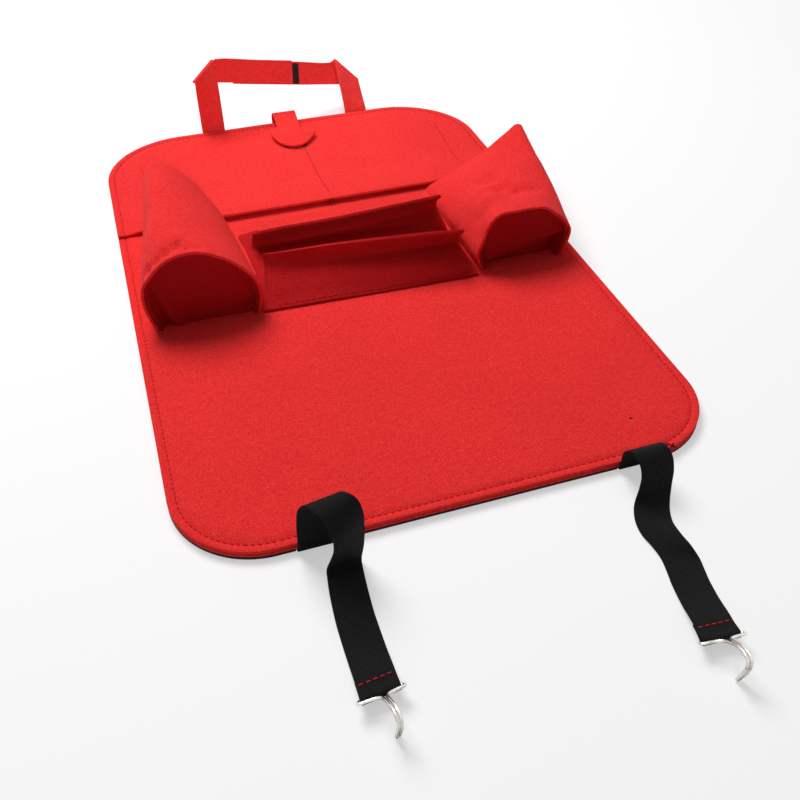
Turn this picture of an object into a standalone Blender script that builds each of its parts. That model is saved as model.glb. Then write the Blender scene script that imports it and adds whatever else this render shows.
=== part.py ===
"""Felt seat-back organizer lying on its back: X across, Y towards the head strap, Z up; metres."""

from math import cos, pi, radians, sin

import bmesh
import bpy
from mathutils import Matrix, Vector

# Sizes of the sheets
PANEL_WIDTH = 0.400
PANEL_LENGTH = 0.600
TOP_CORNER = 0.085
BOTTOM_CORNER = 0.062
CORNER_STEPS = 8
LINING_THICKNESS = 0.0020
FELT_THICKNESS = 0.0026
POCKET_THICKNESS = 0.0025
STRAP_THICKNESS = 0.0020
TAPE_THICKNESS = 0.0010
ELASTIC_THICKNESS = 0.0012
ELASTIC_WIDTH = 0.0245
LAYER_GAP = 0.0003
SIDE_GAP = 0.0003
BASE_CLEARANCE = 0.0007

# Where the felt layers meet
LOWER_FRONT_END = 0.140
LIP_EDGE = 0.1055
LIP_GAP = 0.0040
STEP_START = 0.163
STEP_END = 0.1445
LIP_SEAM_X = 0.187
LIP_FULL_X = 0.165

# Sewn-in ends of the straps and of the tab
TAIL_LENGTH = 0.025
LEFT_LEG = (-0.0895, -0.0645)
RIGHT_LEG = (0.0765, 0.1015)
TAB_SIDES = (-0.0093, 0.0166)
LEFT_ELASTIC_X = -0.113
RIGHT_ELASTIC_X = 0.120
FOLD_RADIUS = 0.00145

# Wire hooks
WIRE_RADIUS = 0.0010
STRAND_OFFSET = 0.00115
BAR_HALF = 0.0124
BAR_TURN = 0.0019
LOOP_CLEARANCE = 0.0003
HOOK_BEND_STEPS = 6

HALF_LENGTH = PANEL_LENGTH / 2
MAIN_BOTTOM = LINING_THICKNESS + LAYER_GAP
FRONT_BOTTOM = MAIN_BOTTOM + FELT_THICKNESS + LAYER_GAP
TOP = FRONT_BOTTOM + FELT_THICKNESS
MM = 0.001


def clear_scene():
    for obj in list(bpy.data.objects):
        bpy.data.objects.remove(obj, do_unlink=True)


def collection(name, helper=False):
    made = bpy.data.collections.new(name)
    bpy.context.scene.collection.children.link(made)
    made.hide_render = helper
    return made


def material(name, colour, roughness, metallic=0.0):
    made = bpy.data.materials.new(name)
    made.use_nodes = True
    shader = made.node_tree.nodes["Principled BSDF"]
    shader.inputs["Base Color"].default_value = (*colour, 1.0)
    shader.inputs["Roughness"].default_value = roughness
    shader.inputs["Metallic"].default_value = metallic
    return made


def finish(name, mesh, slot, colour):
    obj = bpy.data.objects.new(name, mesh)
    PARTS.objects.link(obj)
    mesh.materials.append(material(slot, *colour))
    return obj


def panel_point(x, y, z):
    """A point given in millimetres from the middle of the panel's bottom edge and from its top face."""
    return Vector((x * MM, y * MM - HALF_LENGTH, z * MM + TOP))


def smooth(points, per):
    """Points along a centripetal Catmull-Rom curve, per of them to a segment."""
    first = points[0] * 2 - points[1]
    last = points[-1] * 2 - points[-2]
    guide = [first, *points, last]
    out = []
    for i in range(1, len(guide) - 2):
        p0, p1, p2, p3 = guide[i - 1 : i + 3]
        t1 = max((p1 - p0).length, 1e-9) ** 0.5
        t2 = t1 + max((p2 - p1).length, 1e-9) ** 0.5
        t3 = t2 + max((p3 - p2).length, 1e-9) ** 0.5
        for k in range(per):
            t = t1 + (t2 - t1) * k / per
            a1 = p0 * ((t1 - t) / t1) + p1 * (t / t1)
            a2 = p1 * ((t2 - t) / (t2 - t1)) + p2 * ((t - t1) / (t2 - t1))
            a3 = p2 * ((t3 - t) / (t3 - t2)) + p3 * ((t - t2) / (t3 - t2))
            b1 = a1 * ((t2 - t) / t2) + a2 * (t / t2)
            b2 = a2 * ((t3 - t) / (t3 - t1)) + a3 * ((t - t1) / (t3 - t1))
            out.append(b1 * ((t2 - t) / (t2 - t1)) + b2 * ((t - t1) / (t2 - t1)))
    out.append(points[-1].copy())
    return out


def ease(value, start, end):
    """0 before start, 1 after end, smooth between."""
    t = min(max((value - start) / (end - start), 0.0), 1.0)
    return t * t * (3 - 2 * t)


# Flat sheets


def panel_outline(y_from, y_to):
    """The panel's rounded outline, counter-clockwise, between two heights along Y."""
    half = PANEL_WIDTH / 2
    out = []
    for sx, sy, radius, start in (
        (1, -1, BOTTOM_CORNER, -90),
        (1, 1, TOP_CORNER, 0),
        (-1, 1, TOP_CORNER, 90),
        (-1, -1, BOTTOM_CORNER, 180),
    ):
        middle = Vector((sx * (half - radius), sy * (HALF_LENGTH - radius)))
        for k in range(CORNER_STEPS + 1):
            angle = radians(start + 90 * k / CORNER_STEPS)
            out.append(middle + Vector((cos(angle), sin(angle))) * radius)
    kept = [p for p in out if y_from - 1e-6 <= p.y <= y_to + 1e-6]
    if y_to < HALF_LENGTH:
        at = next(i for i, p in enumerate(kept) if p.x < 0 and p.y > y_from and i > CORNER_STEPS)
        kept[at:at] = [Vector((half, y_to)), Vector((-half, y_to))]
    if y_from > -HALF_LENGTH:
        kept = [Vector((-half, y_from)), Vector((half, y_from)), *kept]
    return kept


def outward_mesh(name, bm):
    """A mesh of this closed body with its faces turned outwards."""
    bmesh.ops.recalc_face_normals(bm, faces=bm.faces[:])
    if bm.calc_volume(signed=True) < 0:
        bmesh.ops.reverse_faces(bm, faces=bm.faces[:])
    mesh = bpy.data.meshes.new(name)
    bm.to_mesh(mesh)
    bm.free()
    return mesh


def slab(name, outline, bottom, thickness, slot, colour, cuts=(), shape=None):
    """A sheet of this outline; cuts are (axis, position) lines across it; shape moves its points."""
    bm = bmesh.new()
    bm.faces.new([bm.verts.new((p.x, p.y, 0.0)) for p in outline])
    for axis, at in cuts:
        plane = Vector((at, 0, 0)) if axis == "x" else Vector((0, at, 0))
        normal = Vector((1, 0, 0)) if axis == "x" else Vector((0, 1, 0))
        geom = bm.verts[:] + bm.edges[:] + bm.faces[:]
        bmesh.ops.bisect_plane(bm, geom=geom, plane_co=plane, plane_no=normal, dist=1e-7)
    lower = bm.faces[:]
    raised = bmesh.ops.extrude_face_region(bm, geom=lower, use_keep_orig=True)["geom"]
    tops = [v for v in raised if isinstance(v, bmesh.types.BMVert)]
    bmesh.ops.translate(bm, verts=tops, vec=(0, 0, thickness))
    bmesh.ops.triangulate(bm, faces=bm.faces[:])
    for vert in bm.verts:
        point = shape(vert.co) if shape else vert.co
        vert.co = point + Vector((0, 0, bottom))
    return finish(name, outward_mesh(name, bm), slot, colour)


def box_cutter(name, xs, ys, zs):
    """A block to cut with, from and to along each axis."""
    bm = bmesh.new()
    bmesh.ops.create_cube(bm, size=1.0)
    size = Vector((xs[1] - xs[0], ys[1] - ys[0], zs[1] - zs[0]))
    middle = Vector(((xs[0] + xs[1]) / 2, (ys[0] + ys[1]) / 2, (zs[0] + zs[1]) / 2))
    place = Matrix.Translation(middle) @ Matrix.Diagonal((*size, 1))
    bmesh.ops.transform(bm, matrix=place, verts=bm.verts)
    mesh = bpy.data.meshes.new(name)
    bm.to_mesh(mesh)
    bm.free()
    obj = bpy.data.objects.new(name, mesh)
    obj.display_type = "WIRE"
    obj.hide_render = True
    CUTTERS.objects.link(obj)
    return obj


def notch(name, x_from, x_to, y_from, y_to):
    """A cutter for a notch in the lining."""
    return box_cutter(name, (x_from, x_to), (y_from, y_to), (-LINING_THICKNESS, 2 * LINING_THICKNESS))


def cut(obj, cutter):
    made = obj.modifiers.new("Cut " + cutter.name, "BOOLEAN")
    made.operation = "DIFFERENCE"
    made.solver = "EXACT"
    made.object = cutter


# Curved sheets


def loft(name, rows, thickness, slot, colour):
    """A sheet through rows of points, thickened evenly to both sides."""
    across = len(rows[0]) - 1
    along = len(rows) - 1
    bm = bmesh.new()
    bmesh.ops.create_grid(bm, x_segments=across, y_segments=along, size=0.5)
    for vert in bm.verts:
        column = round((vert.co.x + 0.5) * across)
        row = round((vert.co.y + 0.5) * along)
        vert.co = rows[row][column]
    mesh = bpy.data.meshes.new(name)
    bm.to_mesh(mesh)
    bm.free()
    obj = finish(name, mesh, slot, colour)
    solid = obj.modifiers.new("Thickness", "SOLIDIFY")
    solid.thickness = thickness
    solid.offset = 0.0
    solid.use_quality_normals = True
    return obj


def surface(sections, per_across, per_along):
    """Smooth rows through control sections that have the same number of points."""
    rows = [smooth(section, per_across) for section in sections]
    columns = [smooth([row[i] for row in rows], per_along) for i in range(len(rows[0]))]
    return [[column[j] for column in columns] for j in range(len(columns[0]))]


RED = ((0.72, 0.026, 0.030), 0.95)
RED_DARK = ((0.60, 0.020, 0.025), 0.95)
BLACK = ((0.008, 0.007, 0.008), 0.9)
STEEL = ((0.72, 0.70, 0.66), 0.22, 1.0)

clear_scene()
PARTS = collection("car_organizer")
CUTTERS = collection("car_organizer_cutters", helper=True)

# Back lining with notches for the sewn-in ends
lining = slab(
    "back_lining", panel_outline(-HALF_LENGTH, HALF_LENGTH), 0.0, LINING_THICKNESS, "lining_black", BLACK
)
TAIL_END = HALF_LENGTH - TAIL_LENGTH
head_notches = {
    "left_leg_notch": LEFT_LEG,
    "right_leg_notch": RIGHT_LEG,
    "tab_notch": TAB_SIDES,
}
for key, sides in head_notches.items():
    cut(
        lining,
        notch(key, sides[0] - SIDE_GAP, sides[1] + SIDE_GAP, TAIL_END - SIDE_GAP, HALF_LENGTH + TAIL_LENGTH),
    )
for key, middle_x in (("left_elastic_notch", LEFT_ELASTIC_X), ("right_elastic_notch", RIGHT_ELASTIC_X)):
    reach = ELASTIC_WIDTH / 2 + SIDE_GAP
    cut(
        lining,
        notch(key, middle_x - reach, middle_x + reach, -HALF_LENGTH - TAIL_LENGTH, SIDE_GAP - TAIL_END),
    )

# Felt layers
slab("main_panel", panel_outline(-HALF_LENGTH, HALF_LENGTH), MAIN_BOTTOM, FELT_THICKNESS, "felt_main", RED)
slab(
    "lower_front",
    panel_outline(-HALF_LENGTH, LOWER_FRONT_END),
    FRONT_BOTTOM,
    FELT_THICKNESS,
    "felt_lower",
    RED,
)


def lip_shape(point):
    over = FELT_THICKNESS + LAYER_GAP
    lift = over * (1 - ease(point.y, STEP_END, STEP_START))
    inward = 1 - ease(abs(point.x), LIP_FULL_X, LIP_SEAM_X)
    lift += (LIP_GAP - LAYER_GAP) * inward * (1 - ease(point.y, LIP_EDGE, LOWER_FRONT_END))
    return point + Vector((0, 0, lift))


LIP_CUTS = [("y", LIP_EDGE + (STEP_START - LIP_EDGE) * k / 12) for k in range(1, 13)]
for side in (-1, 1):
    LIP_CUTS += [("x", side * (LIP_FULL_X + (LIP_SEAM_X - LIP_FULL_X) * k / 4)) for k in range(5)]
slab(
    "upper_front",
    panel_outline(LIP_EDGE, HALF_LENGTH),
    FRONT_BOTTOM,
    FELT_THICKNESS,
    "felt_upper",
    RED,
    LIP_CUTS,
    lip_shape,
)

# Bottle pockets: sections in millimetres, from the left foot over the top to the right foot
LEFT_BOTTLE = {
    403.5: [(-177, -3), (-172.5, 18), (-168, 37), (-164, 54.5), (-159.5, 62.5), (-153.4, 63.6),
            (-146.3, 61.9), (-134.7, 54.6), (-127, 46.5), (-119.7, 38.1), (-111.5, 25.5),
            (-103.8, 11.8), (-98.5, -3)],
    360: [(-180.5, -3), (-178.5, 16.5), (-174.5, 33.5), (-171, 50.5), (-166.5, 61), (-159, 65), (-149, 64.5),
          (-136, 59), (-125, 51), (-115, 41), (-106.3, 28), (-99.5, 13.5), (-97.8, -3)],
    300: [(-184, -3), (-184.5, 13), (-182, 29), (-179.3, 46), (-174, 59.5), (-165.5, 66.2), (-152, 68),
          (-137, 64), (-122.5, 56), (-110, 45), (-100.5, 31), (-96, 15), (-97.5, -3)],
    250: [(-181, -3), (-185.5, 14), (-188.3, 28), (-187, 43), (-180, 53), (-167, 64.5), (-153, 69),
          (-138, 68), (-122, 60.5), (-108, 49), (-97, 34.5), (-94, 18), (-97.5, -3)],
}
RIGHT_BOTTLE = {
    403.5: [(104.5, -3), (111, 3.5), (121, 8), (135, 13.5), (150, 19.5), (164, 26), (175.7, 31.4), (185, 37),
            (196, 43.2), (207.2, 49.1), (212.1, 47), (206, 26), (189, -3)],
    380: [(104.5, -3), (107.5, 7), (115.5, 14), (128, 22), (142, 28.5), (155.5, 34), (168, 38), (179, 41.5),
          (190.5, 44.8), (200.5, 47), (206, 44.5), (203, 24), (188.5, -3)],
    335: [(104, -3), (104, 10), (110, 21), (121, 32), (134, 38.5), (147, 41.5), (160, 44), (172, 45.5),
          (184, 45.5), (194, 45), (200, 41), (199, 22), (187, -3)],
    290: [(104.5, -3), (101.5, 14), (106.5, 27), (115, 40.5), (126, 48), (139, 48.5), (153, 49.5), (166, 50),
          (176, 47.5), (187, 43), (194, 35), (194.5, 19), (184.5, -3)],
    250: [(106, -3), (100.2, 16.6), (104.5, 31), (110.7, 47.7), (119.3, 54.8), (132.7, 54.6), (146.9, 53.8),
          (160.3, 53.0), (168.2, 48.5), (179.2, 39.6), (188.2, 27), (187, 15), (181.2, -3)],
}
MOUTH_LEAN = 16.5
MOUTH_TOP = 63.0
MOUTH_CLEAR = 10.0


def bottle_sections(table):
    """Control rows from the mouth to the rim; the mouth's top leans over the upper layer's lip."""
    out = []
    mouth = max(table)
    for y, points in table.items():
        row = []
        for x, z in points:
            lean = MOUTH_LEAN * max(0.0, z - MOUTH_CLEAR) / (MOUTH_TOP - MOUTH_CLEAR) if y == mouth else 0.0
            row.append(panel_point(x, y + lean, z))
        out.append(row)
    return out


# Everything under the bottle pockets' feet
UNDER = box_cutter(
    "under_pockets",
    (-PANEL_WIDTH, PANEL_WIDTH),
    (-PANEL_LENGTH, PANEL_LENGTH),
    (-PANEL_WIDTH, TOP + LAYER_GAP),
)


def bottle_wall(name, table, slot):
    rows = surface(bottle_sections(table), 2, 4)
    obj = loft(name, rows, POCKET_THICKNESS, slot, RED_DARK)
    cut(obj, UNDER)
    return obj


bottle_wall("left_bottle_wall", LEFT_BOTTLE, "felt_left_wall")
bottle_wall("right_bottle_wall", RIGHT_BOTTLE, "felt_right_wall")


def base_outline(table, y, inset):
    """The inside of a bottle pocket's section at y, drawn in by inset and closed along the panel."""
    rows = surface(bottle_sections(table), 2, 4)
    wanted = y * MM - HALF_LENGTH
    upper = next(i for i, row in enumerate(rows) if row[0].y <= wanted)
    a, b = rows[upper - 1], rows[upper]
    t = (wanted - a[0].y) / (b[0].y - a[0].y)
    ring = [(p.lerp(q, t)) for p, q in zip(a, b)]
    flat = [Vector((p.x, p.z)) for p in ring]
    out = []
    for i, p in enumerate(flat):
        before = flat[max(i - 1, 0)]
        after = flat[min(i + 1, len(flat) - 1)]
        way = (after - before).normalized()
        out.append(p + Vector((way.y, -way.x)) * inset)
    low = TOP + LAYER_GAP
    kept = [i for i, p in enumerate(out) if p.y > low]
    feet = []
    for above, under in ((kept[0], kept[0] - 1), (kept[-1], kept[-1] + 1)):
        p, q = out[above], out[under]
        feet.append(p.lerp(q, (p.y - low) / (p.y - q.y)))
    return [feet[0], *[out[i] for i in kept], feet[1]]


def base_plate(name, table, y, slot, fold=None):
    """A half-moon bottom, a sheet standing across the pocket; fold moves its points along Y."""
    outline = base_outline(table, y, POCKET_THICKNESS / 2 + BASE_CLEARANCE)
    bm = bmesh.new()
    y_front = y * MM - HALF_LENGTH - POCKET_THICKNESS / 2
    bm.faces.new([bm.verts.new((p.x, y_front, p.y)) for p in outline])
    if fold:
        for k in range(1, 14):
            place = Vector((0, 0, TOP + k * 0.004))
            geom = bm.verts[:] + bm.edges[:] + bm.faces[:]
            bmesh.ops.bisect_plane(bm, geom=geom, plane_co=place, plane_no=(0, 0, 1), dist=1e-7)
        for k in range(1, 10):
            place = Vector((outline[0].x + (outline[-1].x - outline[0].x) * k / 10, 0, 0))
            geom = bm.verts[:] + bm.edges[:] + bm.faces[:]
            bmesh.ops.bisect_plane(bm, geom=geom, plane_co=place, plane_no=(1, 0, 0), dist=1e-7)
    made = bmesh.ops.extrude_face_region(bm, geom=bm.faces[:], use_keep_orig=True)["geom"]
    back = [v for v in made if isinstance(v, bmesh.types.BMVert)]
    bmesh.ops.translate(bm, verts=back, vec=(0, POCKET_THICKNESS, 0))
    if fold:
        for vert in bm.verts:
            vert.co.y += fold(vert.co.x, vert.co.z)
    bmesh.ops.triangulate(bm, faces=bm.faces[:])
    return finish(name, outward_mesh(name, bm), slot, RED_DARK)


def right_fold(x, z):
    """The lower part of the right bottom is pushed in below a line that rises to the right."""
    share = min(max((x - 0.105) / 0.075, 0.0), 1.0)
    line = TOP + 0.0215 * share**0.6
    return 0.006 * (1 - ease(z, line - 0.003, line + 0.004))


LEFT_BASE_Y = 257.0
RIGHT_BASE_Y = 256.0
base_plate("left_bottle_base", LEFT_BOTTLE, LEFT_BASE_Y, "felt_left_base")
base_plate("right_bottle_base", RIGHT_BOTTLE, RIGHT_BASE_Y, "felt_right_base", right_fold)

# Centre pockets: for each row the left seam, crease and face edge, then the right face edge, crease and seam
FRONT_POCKET = [
    ((-93.5, 249, 1.6), (-88, 249, 1.6), (-82, 249, 1.6),
     (88, 244, 1.6), (94, 244, 1.6), (99.5, 244, 1.6)),
    ((-93.5, 258, 1.6), (-88, 258, 3.2), (-82, 258, 5.0),
     (88, 246.5, 7.0), (94.5, 249, 4.4), (99.5, 250, 1.6)),
    ((-93.5, 268, 1.6), (-87.5, 267, 5.6), (-82, 267, 9.8),
     (88, 253, 14), (94.5, 256, 8), (99.5, 259, 1.6)),
    ((-93.5, 278, 1.6), (-86, 277, 8), (-82, 276, 14.2),
     (88, 262, 18.5), (94, 266, 10), (99.5, 269, 1.6)),
    ((-93.5, 288, 1.6), (-83.5, 286, 10), (-82, 284.5, 18.6),
     (88, 270.5, 20.6), (92, 276, 12), (99.5, 280, 1.6)),
    ((-93.5, 295, 1.6), (-80.5, 292, 11.5), (-82, 289, 23),
     (88, 268, 30.5), (90.5, 282, 16), (99.5, 292, 1.6)),
    ((-93.5, 302, 1.6), (-78, 298, 13), (-82, 292.4, 29.6),
     (88, 256.9, 40.8), (90.5, 284, 19), (99.5, 304, 1.6)),
]
REAR_POCKET = [
    ((-88, 267, 1.6), (-85, 267, 1.6), (-81, 267, 1.6),
     (87, 258, 1.6), (91, 258, 1.6), (94.5, 258, 1.6)),
    ((-88, 288, 1.6), (-85, 288, 1.6), (-81.5, 288, 1.7),
     (87.5, 277, 3.6), (91.0, 278, 2.6), (94.0, 278, 1.6)),
    ((-88.5, 310, 1.6), (-85, 310, 1.6), (-82, 309, 1.8),
     (88, 301, 8.2), (91.5, 301, 4.6), (94.5, 302, 1.6)),
    ((-89.5, 333, 1.6), (-85.5, 333, 1.7), (-82, 332, 2.0),
     (88, 322, 16.8), (94.5, 324, 9.0), (98, 325, 1.6)),
    ((-90, 345, 1.6), (-86, 344.5, 2.4), (-82, 342, 4.0),
     (88, 333, 21.5), (94.5, 336, 11), (99.5, 338, 1.6)),
    ((-90.5, 354, 1.6), (-83.5, 350, 5.5), (-82, 344, 11),
     (88, 331.5, 29), (92, 341, 14), (100.5, 346, 1.6)),
    ((-91.5, 363, 1.6), (-79, 356, 9), (-82, 340, 18.5),
     (88, 324.5, 36), (90.5, 344, 17), (101.5, 354, 1.6)),
    ((-92, 372, 1.6), (-75, 360, 12), (-82, 333, 26.5),
     (88, 315, 43.4), (89.5, 347, 20), (102.5, 362, 1.6)),
]
FRONT_BOW = 3.0
REAR_BOW = 0.0
FACE_STOPS = (0.05, 0.25, 0.5, 0.75, 0.95)


def pocket(name, table, bow, slot):
    """A pocket with creased side gussets; bow lifts the middle of the rim, in millimetres."""
    sections = []
    for k, row in enumerate(table):
        left, right = panel_point(*row[2]), panel_point(*row[3])
        raised = bow * MM * (k / (len(table) - 1)) ** 2
        face = [left.lerp(right, t) + Vector((0, 0, raised * 4 * t * (1 - t))) for t in FACE_STOPS]
        ends = [panel_point(*p) for p in row]
        sections.append([ends[0], ends[1], ends[2], *face, ends[3], ends[4], ends[5]])
    return loft(name, surface(sections, 2, 2), POCKET_THICKNESS, slot, RED)


pocket("front_center_pocket", FRONT_POCKET, FRONT_BOW, "felt_front_pocket")
pocket("rear_center_pocket", REAR_POCKET, REAR_BOW, "felt_rear_pocket")

# Closure tab: a flat cut-out bent along a line that goes up round the top edge and down on the upper layer
TAB_LOOP = 0.0087
TAB_LOOP_Y = 0.2992
TAIL_Z = STRAP_THICKNESS / 2
TAB_FLAT = TOP + 3 * LAYER_GAP + 2 * TAPE_THICKNESS + STRAP_THICKNESS / 2
tab_line = [Vector((TAIL_END, TAIL_Z)), Vector((TAB_LOOP_Y - 0.004, TAIL_Z))]
for k in range(11):
    turn = pi * k / 10
    middle = Vector((TAB_LOOP_Y, TAIL_Z + TAB_LOOP))
    tab_line.append(middle + Vector((sin(turn), -cos(turn))) * TAB_LOOP)
for y, z in ((594, 9.9), (588, 9.0), (580, 7.7), (572, 6.5), (564, 5.4), (558, 4.6)):
    tab_line.append(Vector((y * MM - HALF_LENGTH, z * MM + TOP)))
tab_line += [Vector((0.2510, TAB_FLAT)), Vector((0.2400, TAB_FLAT)), Vector((0.2250, TAB_FLAT))]
tab_stations = [0.0]
for a, b in zip(tab_line, tab_line[1:]):
    tab_stations.append(tab_stations[-1] + (b - a).length)
TAB_FRONT = 12


def tab_station(y_mm):
    """How far along the tab's line its front part has this Y."""
    y = y_mm * MM - HALF_LENGTH
    for i in range(TAB_FRONT, len(tab_line) - 1):
        a, b = tab_line[i], tab_line[i + 1]
        if a.x >= y >= b.x:
            return tab_stations[i] + (tab_stations[i + 1] - tab_stations[i]) * (a.x - y) / (a.x - b.x)
    return tab_stations[TAB_FRONT]


def on_tab(point):
    """Bends a flat point: X stays, Y is the way along the line, Z the height over its middle."""
    s = min(max(point.y, 0.0), tab_stations[-1])
    i = max(k for k in range(len(tab_line) - 1) if tab_stations[k] <= s)
    t = (s - tab_stations[i]) / (tab_stations[i + 1] - tab_stations[i])
    place = tab_line[i].lerp(tab_line[i + 1], t)
    before = tab_line[max(i - 1, 0)]
    after = tab_line[min(i + 2, len(tab_line) - 1)]
    way_a = (tab_line[i + 1] - before).normalized()
    way_b = (after - tab_line[i]).normalized()
    way = way_a.lerp(way_b, t).normalized()
    outward = Vector((way.y, -way.x))
    place = place + outward * (point.z - STRAP_THICKNESS / 2)
    return Vector((point.x, place.x, place.y))


TAB_SHAPE = [
    (-9.9, 572), (-15, 571), (-19.2, 568.5), (-20.2, 563), (-18.6, 553), (-15, 543), (-9, 534.8),
    (-2, 530.8),
    (5, 530), (12, 533), (19, 540), (25, 547.5), (28.8, 553.2), (28.6, 557), (25, 560.5), (14.2, 564),
]
tab_outline = [Vector((TAB_SIDES[0], 0.0)), Vector((TAB_SIDES[0], tab_stations[TAB_FRONT]))]
tab_outline += [Vector((x * MM, tab_station(y))) for x, y in TAB_SHAPE]
tab_outline += [Vector((TAB_SIDES[1], tab_stations[TAB_FRONT])), Vector((TAB_SIDES[1], 0.0))]
tab_cuts = [("y", s) for s in tab_stations[1:-1]]
slab("closure_tab", tab_outline, 0.0, STRAP_THICKNESS, "felt_tab", RED, tab_cuts, on_tab)


def patch(name, middle, size, turn, bottom, slot):
    signs = ((-1, -1), (1, -1), (1, 1), (-1, 1))
    corners = [Vector((sx * size[0] / 2, sy * size[1] / 2)) for sx, sy in signs]
    turned = [Matrix.Rotation(turn, 2) @ p + Vector(middle) for p in corners]
    return slab(name, turned, bottom, TAPE_THICKNESS, slot, BLACK)


PATCH_PLACE = (0.003, 0.2425)
PATCH_TURN = radians(-10)
patch("tab_loop_patch", PATCH_PLACE, (0.024, 0.0150), PATCH_TURN, TOP + LAYER_GAP, "loop_black")
hook_patch_bottom = TOP + 2 * LAYER_GAP + TAPE_THICKNESS
patch("tab_hook_patch", PATCH_PLACE, (0.020, 0.0130), PATCH_TURN, hook_patch_bottom, "hook_black")

# Head strap: rows of two points, the leg's outer and inner edge, then the cross run's lower and upper edge
STRAP_BEND = 2.0
BEND_Y = 599.8
TAIL_MM = (TAIL_Z - TOP) / MM


def leg_start(sides):
    outer, inner = sides[0] / MM, sides[1] / MM
    rows = [((outer, 575, TAIL_MM), (inner, 575, TAIL_MM)), ((outer, 590, TAIL_MM), (inner, 590, TAIL_MM))]
    for k in range(4):
        turn = pi / 2 * k / 3
        y = BEND_Y + STRAP_BEND * sin(turn)
        z = TAIL_MM + STRAP_BEND * (1 - cos(turn))
        rows.append(((outer, y, z), (inner, y, z)))
    return [[panel_point(*a), panel_point(*b)] for a, b in rows]


def folded(low, high, along):
    """Rows of the half-turn over the line from low to high; along is the way the leg comes up."""
    line = (high - low).normalized()
    outward = (along - line * along.dot(line)).normalized()
    back = line.cross(outward).normalized()
    if back.y < 0:
        back = -back
    rows = []
    for k in range(7):
        turn = pi * k / 6
        move = back * (FOLD_RADIUS * (1 - cos(turn))) + outward * (FOLD_RADIUS * sin(turn))
        rows.append([low + move, high + move])
    return rows, back


def strap_rows(rows):
    """Each row with a point in its middle."""
    return [[a, a.lerp(b, 0.5), b] for a, b in rows]


LEFT_LEG_ROWS = [
    ((-89.5, 603.4, 5), (-64.5, 602.2, 5)),
    ((-89.5, 603.8, 22), (-64.5, 604.6, 24)),
    ((-89.5, 602.0, 41), (-64.5, 609.6, 47)),
]
LEFT_FOLD = (panel_point(-89.5, 599, 58.5), panel_point(-64.5, 621.1, 70.6))
RUN_LEFT = (panel_point(-63.5, 621.2, 46.6), panel_point(-62.0, 624.0, 71.2))
RUN_RIGHT = (panel_point(22.5, 627.2, 31.4), panel_point(23.5, 628.8, 57.0))


def on_run(x_mm, depth=0.0, drop=0.0):
    """Lower and upper point of the left half's cross run at x, moved behind it and down along it."""
    start = RUN_LEFT[0].x / MM
    end = RUN_RIGHT[0].x / MM
    t = (x_mm - start) / (end - start)
    low, high = RUN_LEFT[0].lerp(RUN_RIGHT[0], t), RUN_LEFT[1].lerp(RUN_RIGHT[1], t)
    if t > 1:
        low = RUN_RIGHT[0] + (RUN_RIGHT[0] - RUN_LEFT[0]) * (t - 1)
        high = RUN_RIGHT[1] + (RUN_RIGHT[1] - RUN_LEFT[1]) * (t - 1)
    up = (high - low).normalized()
    behind = up.cross(RUN_RIGHT[0] - RUN_LEFT[0]).normalized()
    if behind.y < 0:
        behind = -behind
    move = behind * depth - up * drop
    return [low + move, high + move]


turned, back_left = folded(*LEFT_FOLD, Vector((0, 0.444, 0.896)))
left_rows = leg_start(LEFT_LEG) + [[panel_point(*a), panel_point(*b)] for a, b in LEFT_LEG_ROWS] + turned
FOLD_EASE = 2 * FOLD_RADIUS + 0.0004
left_corner = LEFT_FOLD[1] + back_left * FOLD_EASE + Vector((0.0015, 0.0003, 0))
left_rows.append([panel_point(-77.5, 613.0, 51.8), left_corner])
left_rows += [list(RUN_LEFT), on_run(-20), on_run(22.5)]
loft("left_head_strap", strap_rows(left_rows), STRAP_THICKNESS, "felt_left_strap", RED)

RIGHT_LEG_ROWS = [
    ((101.5, 604.0, 0.5), (76.5, 603.4, 1)),
    ((101.5, 615.5, 9), (76.5, 612.5, 15)),
]
RIGHT_FOLD = (panel_point(101.5, 633.1, 22.7), panel_point(76.5, 642.3, 46.6))
RUN_DEPTH = STRAP_THICKNESS + 2 * TAPE_THICKNESS + 3 * LAYER_GAP
RUN_DROP = 0.0026
turned, back_right = folded(*RIGHT_FOLD, Vector((0, 0.741, 0.671)))
right_rows = leg_start((RIGHT_LEG[1], RIGHT_LEG[0]))
right_rows += [[panel_point(*a), panel_point(*b)] for a, b in RIGHT_LEG_ROWS] + turned
right_corner = RIGHT_FOLD[1] + back_right * FOLD_EASE + Vector((-0.0015, 0, 0))
right_rows.append([panel_point(88.0, 641.0, 17.0), right_corner])
right_rows.append([panel_point(75.0, 645.5, 16.4), panel_point(72.5, 645.6, 42.2)])
right_rows += [on_run(x, RUN_DEPTH, RUN_DROP) for x in (32, 15, -20, -45)]
loft("right_head_strap", strap_rows(right_rows), STRAP_THICKNESS, "felt_right_strap", RED)

TAPE_OFFSET = STRAP_THICKNESS / 2 + LAYER_GAP + TAPE_THICKNESS / 2
TAPE_MARGIN = 0.05


def tape(name, xs, depth, drop, slot):
    rows = []
    for x in xs:
        low, high = on_run(x, depth, drop)
        rows.append([low.lerp(high, TAPE_MARGIN), low.lerp(high, 1 - TAPE_MARGIN)])
    return loft(name, strap_rows(rows), TAPE_THICKNESS, slot, BLACK)


tape("head_strap_hook_tape", (-30, -5, 19), TAPE_OFFSET, 0.0, "hook_black")
tape("head_strap_loop_tape", (-36, 0, 31), RUN_DEPTH - TAPE_OFFSET, RUN_DROP, "loop_black")

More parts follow.
